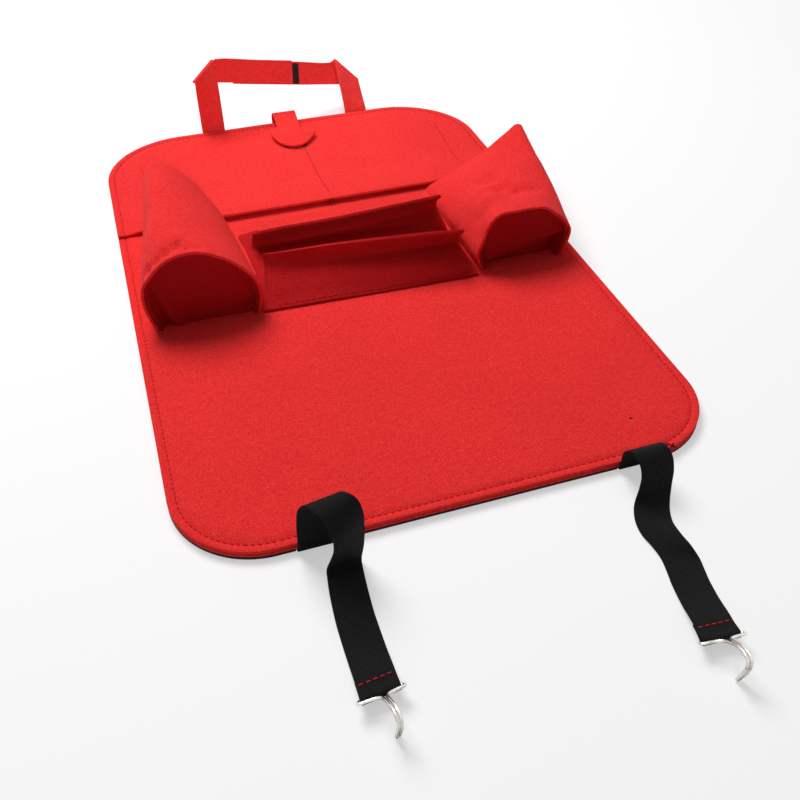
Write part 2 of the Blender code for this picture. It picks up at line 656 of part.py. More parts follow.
# Elastic straps: middle and direction across at each station
NOTCH_Z = (MAIN_BOTTOM - LAYER_GAP - ELASTIC_THICKNESS / 2 - TOP) / MM
FLOOR_Z = (ELASTIC_THICKNESS / 2 + 0.0001 - TOP) / MM
LEFT_ELASTIC = [
    ((-113, 24.7, NOTCH_Z), (1, 0, 0)),
    ((-113, 8, NOTCH_Z), (1, 0, 0)),
    ((-113, 0.5, NOTCH_Z), (1, 0, 0)),
    ((-112.9, -1.9, -5.2), (1, 0, 0)),
    ((-112.7, -3.0, -1.5), (1, 0, 0)),
    ((-112.5, -3.6, 11), (1, 0, 0.02)),
    ((-112, -4.4, 26.5), (1, -0.02, 0.08)),
    ((-110.8, -6.6, 40.5), (0.98, -0.04, 0.18)),
    ((-107.5, -13, 51), (0.95, -0.06, 0.28)),
    ((-101.5, -22, 52), (0.95, 0.1, 0.25)),
    ((-97.5, -27.5, 43), (0.9, 0.35, 0.2)),
    ((-96.8, -28.6, 28), (0.9, 0.42, 0.06)),
    ((-98, -26, 12), (0.95, 0.28, 0)),
    ((-99.2, -23.2, 1), (0.98, 0.18, 0)),
    ((-99.6, -22.2, -4.2), (0.98, 0.16, 0)),
    ((-99.9, -23.6, -6.7), (0.98, 0.16, 0)),
    ((-100.4, -27, FLOOR_Z), (0.99, 0.14, 0)),
    ((-101.8, -38, FLOOR_Z), (0.995, 0.08, 0)),
    ((-103.6, -60, FLOOR_Z), (1, 0.04, 0)),
]
RIGHT_ELASTIC = [
    ((120, 24.7, NOTCH_Z), (1, 0, 0)),
    ((120, 8, NOTCH_Z), (1, 0, 0)),
    ((120, 0.5, NOTCH_Z), (1, 0, 0)),
    ((119.8, -2.0, -5.1), (1, 0, 0)),
    ((118.9, -3.6, 2), (1, -0.02, 0)),
    ((117, -6, 12.5), (1, -0.04, 0.04)),
    ((115.5, -10.5, 22), (0.98, -0.06, 0.08)),
    ((115.5, -18, 27.5), (0.97, -0.05, 0.08)),
    ((117.2, -24.5, 24), (0.97, -0.02, 0.04)),
    ((118.6, -28.5, 14), (0.98, 0, 0)),
    ((117.2, -31.5, 4), (0.97, -0.05, 0)),
    ((114.4, -35.5, -4), (0.96, -0.2, 0)),
    ((111.5, -40.5, FLOOR_Z + 0.3), (0.94, -0.3, 0)),
    ((106.5, -52, FLOOR_Z + 1.1), (0.93, -0.36, 0.06)),
    ((104.6, -64, -4.2), (0.88, -0.4, 0.22)),
    ((106, -74, -4.4), (0.9, -0.4, 0.18)),
    ((107.4, -83, -6.5), (0.96, -0.28, 0.02)),
    ((105.6, -94, FLOOR_Z), (0.99, -0.14, 0)),
]
LEFT_BAR = ((-105.1, -117.8, 0.9), 6.0)
LEFT_PULL = -1.5
RIGHT_BAR = ((94.8, -146.2, 0.9), -4.2)
RIGHT_PULL = -11.5
END_SLOPE = radians(10)


def pulled(heading):
    """The way a strap comes in to its hook, rising at the end slope."""
    turn = radians(heading)
    return Vector((sin(turn) * cos(END_SLOPE), -cos(turn) * cos(END_SLOPE), sin(END_SLOPE)))


def hook_loop(bar, heading, pull):
    """Stations of the end that is turned back round the hook's bar, from the strap to the sewn end."""
    middle = panel_point(*bar)
    turn = radians(heading)
    forward = Vector((sin(turn), -cos(turn), 0))
    across = Vector((cos(turn), sin(turn), 0))
    along = forward * cos(END_SLOPE) + Vector((0, 0, sin(END_SLOPE)))
    over = Vector((0, 0, cos(END_SLOPE))) - forward * sin(END_SLOPE)
    radius = WIRE_RADIUS + LOOP_CLEARANCE + ELASTIC_THICKNESS / 2
    apart = (ELASTIC_THICKNESS + LAYER_GAP) / 2
    places = [(-14, apart), (-9, apart), (-5, 0.0012), (-1.6, 0.0018)]
    strap = pulled(pull)
    out = [(middle + strap * (back * MM) + over * up, across) for back, up in places]
    for k in range(9):
        angle = pi / 2 - pi * k / 8
        out.append((middle + along * (radius * cos(angle)) + over * (radius * sin(angle)), across))
    out += [(middle + strap * (back * MM) - over * up, across) for back, up in reversed(places)]
    approach = middle - strap * 0.030 - over * 0.0006
    return [(approach, across), *out]


def elastic(name, table, bar, heading, pull, slot):
    stations = [(panel_point(*place), Vector(way).normalized()) for place, way in table]
    middle = panel_point(*bar)
    turn = radians(pull)
    across = Vector((cos(turn), sin(turn), 0))
    landing = middle - Vector((sin(turn), -cos(turn), 0)) * 0.046
    landing.z = ELASTIC_THICKNESS / 2 + 0.0001
    stations.append((landing, across))
    stations += hook_loop(bar, heading, pull)
    places = smooth([place for place, way in stations], 2)
    ways = smooth([way for place, way in stations], 2)
    rows = []
    for place, way in zip(places, ways):
        half = way.normalized() * (ELASTIC_WIDTH / 2)
        rows.append([place - half, place, place + half])
    return loft(name, rows, ELASTIC_THICKNESS, slot, BLACK)


elastic("left_elastic_strap", LEFT_ELASTIC, *LEFT_BAR, LEFT_PULL, "elastic_left")
elastic("right_elastic_strap", RIGHT_ELASTIC, *RIGHT_BAR, RIGHT_PULL, "elastic_right")

# Wire hooks: forward and height over the bar, in millimetres, along the double shank
SHANK = [(10.3, 10.1), (16.0, 14.4), (21.0, 15.9), (24.3, 15.3), (26.1, 12.3), (26.3, 6.5), (23.5, -6.5)]
SHOULDER = [(1.5, 8.6), (2.6, 6.4), (4.8, 4.9), (8.0, 4.2)]


def wire_hook(name, bar, heading, slot):
    """One closed wire: bar, turns at its ends, shoulders, and two strands that curl down to the tip."""
    rise = Vector((0, -SHANK[0][0], SHANK[0][1])).normalized()
    turn_out = BAR_TURN
    half = [Vector((BAR_HALF / 2, 0, 0)), Vector((BAR_HALF, 0, 0))]
    for k in range(1, HOOK_BEND_STEPS + 1):
        angle = pi * k / HOOK_BEND_STEPS
        out = BAR_HALF + turn_out * sin(angle)
        half.append(Vector((out, 0, 0)) + rise * (turn_out * (1 - cos(angle))))
    shoulder = [Vector((u * MM, 0, 0)) + rise * (q * MM) for u, q in reversed(SHOULDER)]
    start = Vector((STRAND_OFFSET, -SHANK[0][0] * MM, SHANK[0][1] * MM))
    half += smooth([half[-1], *shoulder, start], 2)[1:]
    shank = [Vector((STRAND_OFFSET, -s * MM, h * MM)) for s, h in SHANK]
    half += smooth(shank, 3)[1:]
    down = (shank[-1] - shank[-2]).normalized()
    end = Vector((0, shank[-1].y, shank[-1].z))
    for k in (1, 2):
        angle = pi / 2 * k / 3
        side = Vector((STRAND_OFFSET * cos(angle), 0, 0))
        half.append(end + side + down * (STRAND_OFFSET * sin(angle)))
    tip = end + down * STRAND_OFFSET
    mirrored = [Vector((-p.x, p.y, p.z)) for p in reversed(half)]
    path = [Vector((0, 0, 0)), *half, tip, *mirrored]
    curve = bpy.data.curves.new(name, "CURVE")
    curve.dimensions = "3D"
    curve.bevel_depth = WIRE_RADIUS
    curve.bevel_resolution = 2
    line = curve.splines.new("POLY")
    line.points.add(len(path) - 1)
    for point, place in zip(line.points, path):
        point.co = (*place, 1.0)
    line.use_cyclic_u = True
    obj = bpy.data.objects.new(name, curve)
    PARTS.objects.link(obj)
    curve.materials.append(material(slot, *STEEL))
    obj.location = panel_point(*bar)
    obj.rotation_euler = (0, 0, radians(heading))
    return obj


wire_hook("left_wire_hook", *LEFT_BAR, "steel_left")
wire_hook("right_wire_hook", *RIGHT_BAR, "steel_right")
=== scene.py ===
"""Looks of the felt seat-back organizer lying on its back on a pale floor; metres, in the CAD's frame."""

import random
from math import cos, exp, pi, radians, sin

import bmesh
import bpy
from mathutils import Matrix, Vector, noise


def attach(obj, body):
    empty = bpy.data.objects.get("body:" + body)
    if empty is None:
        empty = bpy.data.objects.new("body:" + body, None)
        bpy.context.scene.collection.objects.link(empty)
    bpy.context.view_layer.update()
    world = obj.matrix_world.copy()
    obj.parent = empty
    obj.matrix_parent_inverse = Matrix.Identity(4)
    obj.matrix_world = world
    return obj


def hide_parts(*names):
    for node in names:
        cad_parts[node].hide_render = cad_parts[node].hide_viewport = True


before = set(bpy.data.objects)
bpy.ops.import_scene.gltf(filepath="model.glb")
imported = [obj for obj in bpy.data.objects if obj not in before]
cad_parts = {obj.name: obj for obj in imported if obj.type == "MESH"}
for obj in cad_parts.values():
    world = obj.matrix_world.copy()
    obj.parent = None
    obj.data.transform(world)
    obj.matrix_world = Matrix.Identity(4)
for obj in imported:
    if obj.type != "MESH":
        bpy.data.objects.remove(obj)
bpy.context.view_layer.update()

# Sizes shared with the CAD
MM = 0.001
PANEL_WIDTH = 0.400
PANEL_LENGTH = 0.600
HALF_LENGTH = PANEL_LENGTH / 2
TOP_CORNER = 0.085
BOTTOM_CORNER = 0.062
LINING = 0.0020
FELT = 0.0026
POCKET = 0.0025
STRAP = 0.0020
TAPE = 0.0010
ELASTIC = 0.0012
ELASTIC_WIDTH = 0.0245
LAYER_GAP = 0.0003
MAIN_BOTTOM = LINING + LAYER_GAP
FRONT_BOTTOM = MAIN_BOTTOM + FELT + LAYER_GAP
TOP = FRONT_BOTTOM + FELT
LOWER_FRONT_END = 0.140
LIP_EDGE = 0.1055
LIP_GAP = 0.0040
STEP_START = 0.163
STEP_END = 0.1445
LIP_SEAM_X = 0.187
LIP_FULL_X = 0.165

# Finer forms of the felt
GRID = 0.012
CORNER_STEPS = 20
EDGE_ROUND = 0.0005
RIPPLE = 0.00028
SEAM_INSET = 0.0062
SEAM_DEPTH = 0.0010
SEAM_WIDTH = 0.0013
GROOVE_RINGS = (-1.5, -0.7, 0, 0.7, 1.5)
STITCH_PITCH = 0.0047
STITCH_LENGTH = 0.0036
THREAD_RADIUS = 0.00042
SEAM_STEP = 0.006
LUMP_SCALE = 28.0
WALL_LUMPS = 0.0005
POCKET_LUMPS = 0.0004

BODY = "organizer"
UP = Vector((0, 0, 1))


# Curves and placing


def panel_point(x, y, z):
    """A place given in millimetres from the middle of the panel's bottom edge and from its top face."""
    return Vector((x * MM, y * MM - HALF_LENGTH, z * MM + TOP))


def ease(value, start, end):
    t = min(max((value - start) / (end - start), 0.0), 1.0)
    return t * t * (3 - 2 * t)


def smooth(points, per):
    """Points along a centripetal Catmull-Rom curve, per of them to a segment."""
    guide = [points[0] * 2 - points[1], *points, points[-1] * 2 - points[-2]]
    out = []
    for i in range(1, len(guide) - 2):
        p0, p1, p2, p3 = guide[i - 1 : i + 3]
        t1 = max((p1 - p0).length, 1e-9) ** 0.5
        t2 = t1 + max((p2 - p1).length, 1e-9) ** 0.5
        t3 = t2 + max((p3 - p2).length, 1e-9) ** 0.5
        for k in range(per):
            t = t1 + (t2 - t1) * k / per
            a1 = p0 * ((t1 - t) / t1) + p1 * (t / t1)
            a2 = p1 * ((t2 - t) / (t2 - t1)) + p2 * ((t - t1) / (t2 - t1))
            a3 = p2 * ((t3 - t) / (t3 - t2)) + p3 * ((t - t2) / (t3 - t2))
            b1 = a1 * ((t2 - t) / t2) + a2 * (t / t2)
            b2 = a2 * ((t3 - t) / (t3 - t1)) + a3 * ((t - t1) / (t3 - t1))
            out.append(b1 * ((t2 - t) / (t2 - t1)) + b2 * ((t - t1) / (t2 - t1)))
    out.append(points[-1].copy())
    return out


def surface(sections, per_across, per_along):
    rows = [smooth(section, per_across) for section in sections]
    columns = [smooth([row[i] for row in rows], per_along) for i in range(len(rows[0]))]
    return [[column[j] for column in columns] for j in range(len(columns[0]))]


def ripple(x, y):
    """The slight waviness that all the layers of the panel share, from 0 up."""
    slow = noise.noise((x * 8.0, y * 8.0, 3.7)) + 0.4 * noise.noise((x * 21.0, y * 21.0, 9.1))
    return RIPPLE * max(0.0, 1.2 + slow)


def edge_distance(x, y):
    """How far a point lies inside the panel's rounded outline."""
    radius = TOP_CORNER if y > 0 else BOTTOM_CORNER
    dx = abs(x) - (PANEL_WIDTH / 2 - radius)
    dy = abs(y) - (HALF_LENGTH - radius)
    outside = Vector((max(dx, 0.0), max(dy, 0.0))).length
    return radius - outside - min(max(dx, dy), 0.0)


def seam_groove(x, y):
    gap = (edge_distance(x, y) - SEAM_INSET) / SEAM_WIDTH
    return SEAM_DEPTH * exp(-gap * gap)


def lip_rise(x, y):
    """How far the upper layer lies above the bottom of the lower one."""
    rise = (FELT + LAYER_GAP) * (1 - ease(y, STEP_END, STEP_START))
    inward = 1 - ease(abs(x), LIP_FULL_X, LIP_SEAM_X)
    return rise + (LIP_GAP - LAYER_GAP) * inward * (1 - ease(y, LIP_EDGE, LOWER_FRONT_END))


def top_height(x, y):
    """The height of whatever felt lies on top of the panel here."""
    rise = lip_rise(x, y) if y > LIP_EDGE else 0.0
    return TOP + rise + ripple(x, y)


# Finishes


class Nodes:
    """A short way to add and join shader nodes."""

    def __init__(self, tree):
        self.tree = tree

    def add(self, kind, **settings):
        node = self.tree.nodes.new(kind)
        for key, value in settings.items():
            if key.startswith("in_"):
                name = key[3:]
                node.inputs[int(name) if name.isdigit() else name].default_value = value
            else:
                setattr(node, key, value)
        return node

    def join(self, out, into):
        self.tree.links.new(out, into)

    def maths(self, operation, a, b=None):
        node = self.add("ShaderNodeMath", operation=operation)
        for socket, value in zip(node.inputs, (a, b)):
            if isinstance(value, (int, float)):
                socket.default_value = value
            elif value is not None:
                self.join(value, socket)
        return node.outputs[0]

    def between(self, value, low, high, to_low=0.0, to_high=1.0):
        node = self.add("ShaderNodeMapRange")
        self.join(value, node.inputs["Value"])
        limits = {"From Min": low, "From Max": high, "To Min": to_low, "To Max": to_high}
        for name, number in limits.items():
            node.inputs[name].default_value = number
        return node.outputs["Result"]

    def cloud(self, place, scale, detail, roughness=0.5):
        """Noise over the surface."""
        node = self.add("ShaderNodeTexNoise", in_Scale=scale, in_Detail=detail, in_Roughness=roughness)
        self.join(place, node.inputs["Vector"])
        return node.outputs

    def blend(self, share, a, b):
        node = self.add("ShaderNodeMix", data_type="RGBA")
        self.join(share, node.inputs[0])
        for socket, value in ((node.inputs[6], a), (node.inputs[7], b)):
            if isinstance(value, tuple):
                socket.default_value = value
            else:
                self.join(value, socket)
        return node.outputs[2]


def group(name, inputs, outputs):
    made = bpy.data.node_groups.new(name, "ShaderNodeTree")
    for label, kind, value in inputs:
        socket = made.interface.new_socket(name=label, in_out="INPUT", socket_type=kind)
        if value is not None:
            socket.default_value = value
    for label, kind in outputs:
        made.interface.new_socket(name=label, in_out="OUTPUT", socket_type=kind)
    nodes = Nodes(made)
    return made, nodes, nodes.add("NodeGroupInput").outputs, nodes.add("NodeGroupOutput").inputs


COLOUR, NUMBER, VECTOR = "NodeSocketColor", "NodeSocketFloat", "NodeSocketVector"
FIBRE_BEND = 0.0022
PICK_PITCH = 0.0011


def felt_fibre():
    """Pressed wool: fine matted fibres, small clumps and broad unevenness."""
    made, n, given, out = group(
        "Felt fibre",
        [
            ("Place", VECTOR, None),
            ("Felt", COLOUR, (0.7, 0.03, 0.03, 1)),
            ("Hollow", COLOUR, (0.4, 0.01, 0.01, 1)),
            ("Tip", COLOUR, (0.9, 0.1, 0.08, 1)),
        ],
        [("Colour", COLOUR), ("Height", NUMBER), ("Roughness", NUMBER)],
    )
    warp = n.cloud(given["Place"], 420.0, 2.0)
    bent = n.add("ShaderNodeVectorMath", operation="MULTIPLY_ADD")
    n.join(warp["Color"], bent.inputs[0])
    bent.inputs[1].default_value = (FIBRE_BEND, FIBRE_BEND, FIBRE_BEND)
    n.join(given["Place"], bent.inputs[2])
    hairs = n.cloud(bent.outputs[0], 1500.0, 4.0, 0.65)[0]
    clumps = n.cloud(given["Place"], 260.0, 3.0, 0.6)[0]
    broad = n.cloud(given["Place"], 16.0, 2.0)[0]
    pits = n.between(hairs, 0.30, 0.50, 0.75, 0.0)
    tips = n.between(hairs, 0.52, 0.72, 0.0, 0.75)
    clump_share = n.between(clumps, 0.30, 0.60, 0.22, 0.0)
    broad_share = n.between(broad, 0.30, 0.70, 0.10, 0.0)
    colour = n.blend(pits, given["Felt"], given["Hollow"])
    colour = n.blend(clump_share, colour, given["Hollow"])
    colour = n.blend(broad_share, colour, given["Hollow"])
    colour = n.blend(tips, colour, given["Tip"])
    n.join(colour, out["Colour"])
    n.join(n.maths("ADD", hairs, n.maths("MULTIPLY", clumps, 1.4)), out["Height"])
    n.join(n.between(hairs, 0.3, 0.7, 0.86, 1.0), out["Roughness"])
    return made


def ribbed_weave():
    """Elastic webbing: ribs along its length, crossed by fine picks, with a firm edge."""
    made, n, given, out = group(
        "Ribbed weave",
        [
            ("Along", VECTOR, None),
            ("Rib", COLOUR, (0.02, 0.02, 0.02, 1)),
            ("Furrow", COLOUR, (0.002, 0.002, 0.002, 1)),
            ("Pitch", NUMBER, 0.0015),
        ],
        [("Colour", COLOUR), ("Height", NUMBER), ("Roughness", NUMBER)],
    )
    parts = n.add("ShaderNodeSeparateXYZ")
    n.join(given["Along"], parts.inputs[0])
    turns = n.maths("DIVIDE", parts.outputs[0], given["Pitch"])
    ribs = n.maths("ABSOLUTE", n.maths("SINE", n.maths("MULTIPLY", turns, pi)))
    odd = n.maths("MULTIPLY", n.maths("FLOOR", turns), pi * 0.5)
    picks = n.maths("SINE", n.maths("ADD", n.maths("MULTIPLY", parts.outputs[1], 2 * pi / PICK_PITCH), odd))
    height = n.maths("ADD", ribs, n.maths("MULTIPLY", picks, 0.22))
    fuzz = n.cloud(given["Along"], 900.0, 3.0)[0]
    height = n.maths("ADD", height, n.maths("MULTIPLY", fuzz, 0.35))
    n.join(n.blend(n.between(height, 0.25, 1.35), given["Furrow"], given["Rib"]), out["Colour"])
    n.join(height, out["Height"])
    n.join(n.between(fuzz, 0.3, 0.7, 0.62, 0.85), out["Roughness"])
    return made


def looped_pile():
    """Hook-and-loop tape and coarse lining: rows of small bumps broken up by noise."""
    made, n, given, out = group(
        "Looped pile",
        [
            ("Place", VECTOR, None),
            ("Low", COLOUR, (0.002, 0.002, 0.002, 1)),
            ("High", COLOUR, (0.03, 0.03, 0.03, 1)),
            ("Pitch", NUMBER, 0.0014),
        ],
        [("Colour", COLOUR), ("Height", NUMBER), ("Roughness", NUMBER)],
    )
    parts = n.add("ShaderNodeSeparateXYZ")
    n.join(given["Place"], parts.inputs[0])
    waves = []
    for axis in (0, 1, 2):
        turns = n.maths("DIVIDE", parts.outputs[axis], given["Pitch"])
        waves.append(n.maths("SINE", n.maths("MULTIPLY", turns, 2 * pi)))
    grid = n.maths("ADD", n.maths("MULTIPLY", waves[0], waves[1]), n.maths("MULTIPLY", waves[2], 0.4))
    fuzz = n.cloud(given["Place"], 1300.0, 3.0)[0]
    height = n.maths("ADD", n.maths("MULTIPLY", grid, 0.4), n.maths("MULTIPLY", fuzz, 1.2))
    n.join(n.blend(n.between(height, 0.2, 1.1), given["Low"], given["High"]), out["Colour"])
    n.join(height, out["Height"])
    n.join(n.between(fuzz, 0.3, 0.7, 0.7, 0.95), out["Roughness"])
    return made


def drawn_wire():
    """Nickel on drawn wire: faint streaks and dull spots."""
    made, n, given, out = group(
        "Drawn wire",
        [
            ("Place", VECTOR, None),
            ("Bright", COLOUR, (0.8, 0.8, 0.8, 1)),
            ("Dull", COLOUR, (0.4, 0.4, 0.4, 1)),
        ],
        [("Colour", COLOUR), ("Height", NUMBER), ("Roughness", NUMBER)],
    )
    spots = n.cloud(given["Place"], 180.0, 4.0)[0]
    fine = n.cloud(given["Place"], 2500.0, 2.0)[0]
    n.join(n.blend(n.between(spots, 0.50, 0.75), given["Bright"], given["Dull"]), out["Colour"])
    n.join(fine, out["Height"])
    n.join(n.between(spots, 0.35, 0.75, 0.10, 0.34), out["Roughness"])
    return made


FELT_FIBRE = felt_fibre()
RIBBED_WEAVE = ribbed_weave()
LOOPED_PILE = looped_pile()
DRAWN_WIRE = drawn_wire()


def patterned(name, pattern, place, values, bump, depth, **shader_values):
    """A material whose colour, roughness and bump come from one pattern."""
    made = bpy.data.materials.new(name)
    made.use_nodes = True
    n = Nodes(made.node_tree)
    shader = made.node_tree.nodes["Principled BSDF"]
    for key, value in shader_values.items():
        shader.inputs[key.replace("_", " ")].default_value = value
    where = n.add("ShaderNodeTexCoord").outputs[place]
    node = n.add("ShaderNodeGroup", node_tree=pattern)
    n.join(where, node.inputs[0])
    for key, value in values.items():
        node.inputs[key].default_value = value
    n.join(node.outputs["Colour"], shader.inputs["Base Color"])
    n.join(node.outputs["Roughness"], shader.inputs["Roughness"])
    relief = n.add("ShaderNodeBump", in_Strength=bump, in_Distance=depth)
    n.join(node.outputs["Height"], relief.inputs["Height"])
    n.join(relief.outputs["Normal"], shader.inputs["Normal"])
    return made


def felt(name, base, hollow, tip):
    colours = {"Felt": (*base, 1), "Hollow": (*hollow, 1), "Tip": (*tip, 1)}
    return patterned(
        name,
        FELT_FIBRE,
        "Object",
        colours,
        bump=0.55,
        depth=0.0009,
        Specular_IOR_Level=0.12,
        Sheen_Weight=0.035,
        Sheen_Roughness=0.45,
        Sheen_Tint=(1.0, 0.25, 0.22, 1.0),
    )


FELT_RED = felt("Red felt", (0.90, 0.028, 0.029), (0.40, 0.004, 0.007), (1.0, 0.12, 0.085))
# The bottle pockets' walls use a copy of the red felt made a touch darker: slight painted shade on their
# sides.
FELT_SHADED_WALL = felt(
    "Red felt of the bottle pockets", (0.88, 0.026, 0.028), (0.38, 0.004, 0.007), (1.0, 0.11, 0.085)
)
# The bottoms of the bottle pockets: the same red felt painted much darker, as painted shade on these faces
# that turn to the camera inside the pockets.
FELT_SHADED_BOTTOM = felt("Red felt of the bottoms, darkened as painted shade", (0.42, 0.004, 0.007), (0.18, 0.001, 0.002), (0.56, 0.024, 0.022))
# The centre pockets: the same red felt painted much darker, as painted shade on their faces under the
# turned-up rims.
FELT_SHADED_FOLD = felt(
    "Red felt of the folded pockets, darkened as painted shade", (0.50, 0.006, 0.009), (0.22, 0.001, 0.002), (0.66, 0.034, 0.030)
)
# The head strap: the same red felt painted brighter and pinker, as painted light standing in for light
# shining through the thin strap.
FELT_LIT_STRAP = felt("Red felt of the strap, brightened as painted light", (0.96, 0.045, 0.043), (0.52, 0.009, 0.012), (1.0, 0.15, 0.11))
WEBBING = patterned(
    "Black elastic",
    RIBBED_WEAVE,
    "UV",
    {"Rib": (0.0055, 0.0046, 0.0044, 1), "Furrow": (0.0005, 0.0004, 0.0004, 1)},
    bump=0.9,
    depth=0.0004,
    Specular_IOR_Level=0.12,
)
PILE = patterned(
    "Black hook-and-loop",
    LOOPED_PILE,
    "Object",
    {"Low": (0.001, 0.001, 0.001, 1), "High": (0.016, 0.015, 0.016, 1)},
    bump=0.8,
    depth=0.0005,
    Specular_IOR_Level=0.3,
)
BACKING = patterned(
    "Black lining",
    LOOPED_PILE,
    "Object",
    {"Low": (0.004, 0.0035, 0.004, 1), "High": (0.022, 0.019, 0.021, 1), "Pitch": 0.0022},
    bump=0.5,
    depth=0.0004,
    Specular_IOR_Level=0.25,
    Sheen_Weight=0.1,
)
NICKEL = patterned(
    "Nickel wire",
    DRAWN_WIRE,
    "Object",
    {"Bright": (0.80, 0.77, 0.72, 1), "Dull": (0.42, 0.40, 0.38, 1)},
    bump=0.05,
    depth=0.0001,
    Metallic=1.0,
)
THREAD = felt("Red thread", (0.50, 0.008, 0.014), (0.20, 0.001, 0.004), (0.66, 0.030, 0.034))
BRIGHT_THREAD = felt("Bright red thread", (0.85, 0.02, 0.03), (0.35, 0.004, 0.008), (1.0, 0.09, 0.08))
DARK_THREAD = felt("Dark red thread", (0.16, 0.004, 0.008), (0.05, 0.001, 0.002), (0.30, 0.02, 0.02))
SPECK = felt("Dark speck", (0.030, 0.012, 0.030), (0.010, 0.004, 0.012), (0.06, 0.02, 0.04))


# Meshes


def dressed(name, mesh, finish, nodes=()):
    """An object of this finish that rides on the organizer and stands for these CAD nodes."""
    obj = bpy.data.objects.new(name, mesh)
    bpy.context.scene.collection.objects.link(obj)
    mesh.materials.append(finish)
    for face in mesh.polygons:
        face.use_smooth = True
    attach(obj, BODY)
    if nodes:
        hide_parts(*nodes)
    return obj


def as_mesh(name, bm):
    mesh = bpy.data.meshes.new(name)
    bm.to_mesh(mesh)
    bm.free()
    return mesh


def round_edges(bm, offset, angle=radians(50)):
    sharp = [e for e in bm.edges if len(e.link_faces) == 2 and e.calc_face_angle(0.0) > angle]
    bmesh.ops.bevel(
        bm, geom=sharp, offset=offset, offset_type="OFFSET", segments=2, affect="EDGES", profile=0.5,
        material=-1,
    )


def outline(y_from, y_to, inset=0.0):
    """The panel's rounded outline, counter-clockwise, between two places along Y, drawn in by inset."""
    half = PANEL_WIDTH / 2 - inset
    out = []
    for sx, sy, radius, start in (
        (1, -1, BOTTOM_CORNER, -90),
        (1, 1, TOP_CORNER, 0),
        (-1, 1, TOP_CORNER, 90),
        (-1, -1, BOTTOM_CORNER, 180),
    ):
        middle = Vector((sx * (PANEL_WIDTH / 2 - radius), sy * (HALF_LENGTH - radius)))
        for k in range(CORNER_STEPS + 1):
            angle = radians(start + 90 * k / CORNER_STEPS)
            out.append(middle + Vector((cos(angle), sin(angle))) * (radius - inset))
    kept = [p for p in out if y_from - 1e-6 <= p.y <= y_to + 1e-6]
    if y_to < HALF_LENGTH:
        at = next(i for i, p in enumerate(kept) if p.x < 0 and p.y > y_from and i > CORNER_STEPS)
        kept[at:at] = [Vector((half, y_to)), Vector((-half, y_to))]
    if y_from > -HALF_LENGTH:
        kept = [Vector((-half, y_from)), Vector((half, y_from)), *kept]
    return kept


def split(bm, place, normal):
    bmesh.ops.bisect_plane(
        bm, geom=bm.verts[:] + bm.edges[:] + bm.faces[:], plane_co=place, plane_no=normal, dist=1e-6
    )


def panel_layer(
    name, y_from, y_to, bottom, thickness, finish, node, lift=None, grooved=False, notches=()
):
    """A sheet of the panel with rounded edges, the seam's groove and the shared waviness."""
    bm = bmesh.new()
    insets = [0.0] + [SEAM_INSET + k * SEAM_WIDTH for k in GROOVE_RINGS if grooved]
    rings = [[bm.verts.new((p.x, p.y, 0.0)) for p in outline(y_from, y_to, inset)] for inset in insets]
    for outer, inner in zip(rings, rings[1:]):
        for i in range(len(outer)):
            corners = (outer[i - 1], outer[i], inner[i], inner[i - 1])
            if max(v.co.y for v in corners) - min(v.co.y for v in corners) > 1e-9:
                bm.faces.new(corners)
    bm.faces.new(rings[-1])
    x = GRID - PANEL_WIDTH / 2
    while x < PANEL_WIDTH / 2:
        split(bm, (x, 0, 0), (1, 0, 0))
        x += GRID
    y = y_from + GRID
    while y < y_to:
        split(bm, (0, y, 0), (0, 1, 0))
        y += GRID
    for x_from, x_to, n_from, n_to in notches:
        for place, normal in (
            ((x_from, 0, 0), (1, 0, 0)),
            ((x_to, 0, 0), (1, 0, 0)),
            ((0, n_from, 0), (0, 1, 0)),
            ((0, n_to, 0), (0, 1, 0)),
        ):
            split(bm, place, normal)
    gone = []
    for face in bm.faces:
        c = face.calc_center_median()
        if any(a < c.x < b and low < c.y < high for a, b, low, high in notches):
            gone.append(face)
    bmesh.ops.delete(bm, geom=gone, context="FACES")
    raised = bmesh.ops.extrude_face_region(bm, geom=bm.faces[:], use_keep_orig=True)["geom"]
    tops = [v for v in raised if isinstance(v, bmesh.types.BMVert)]
    bmesh.ops.translate(bm, verts=tops, vec=(0, 0, thickness))
    bmesh.ops.recalc_face_normals(bm, faces=bm.faces[:])
    if bm.calc_volume(signed=True) < 0:
        bmesh.ops.reverse_faces(bm, faces=bm.faces[:])
    round_edges(bm, EDGE_ROUND)
    for vert in bm.verts:
        x, y, z = vert.co
        height = bottom + z + ripple(x, y) + (lift(x, y) if lift else 0.0)
        if grooved and z > thickness / 2:
            height -= seam_groove(x, y)
        vert.co.z = height
    return dressed(name, as_mesh(name, bm), finish, [node])


def running(points):
    out = [0.0]
    for a, b in zip(points, points[1:]):
        out.append(out[-1] + (b - a).length)
    return out


def cloth(name, rows, thickness, finish, nodes):
    """A sheet through rows of points, with a UV map in metres and softly cut edges."""
    across, along = len(rows[0]) - 1, len(rows) - 1
    widths = running(rows[along // 2])
    lengths = running([row[across // 2] for row in rows])
    bm = bmesh.new()
    bmesh.ops.create_grid(bm, x_segments=across, y_segments=along, size=0.5)
    places = {}
    for vert in bm.verts:
        places[vert] = (round((vert.co.x + 0.5) * across), round((vert.co.y + 0.5) * along))
    uv = bm.loops.layers.uv.new("Cloth")
    for face in bm.faces:
        for loop in face.loops:
            column, row = places[loop.vert]
            loop[uv].uv = (widths[column], lengths[row])
    for vert, (column, row) in places.items():
        vert.co = rows[row][column]
    obj = dressed(name, as_mesh(name, bm), finish, nodes)
    solid = obj.modifiers.new("Thickness", "SOLIDIFY")
    solid.thickness = thickness
    solid.offset = 0.0
    solid.use_quality_normals = True
    edge = obj.modifiers.new("Soft edge", "BEVEL")
    edge.width = min(EDGE_ROUND, thickness * 0.3)
    edge.segments = 2
    edge.limit_method = "ANGLE"
    edge.angle_limit = radians(60)
    edge.use_clamp_overlap = True
    return obj


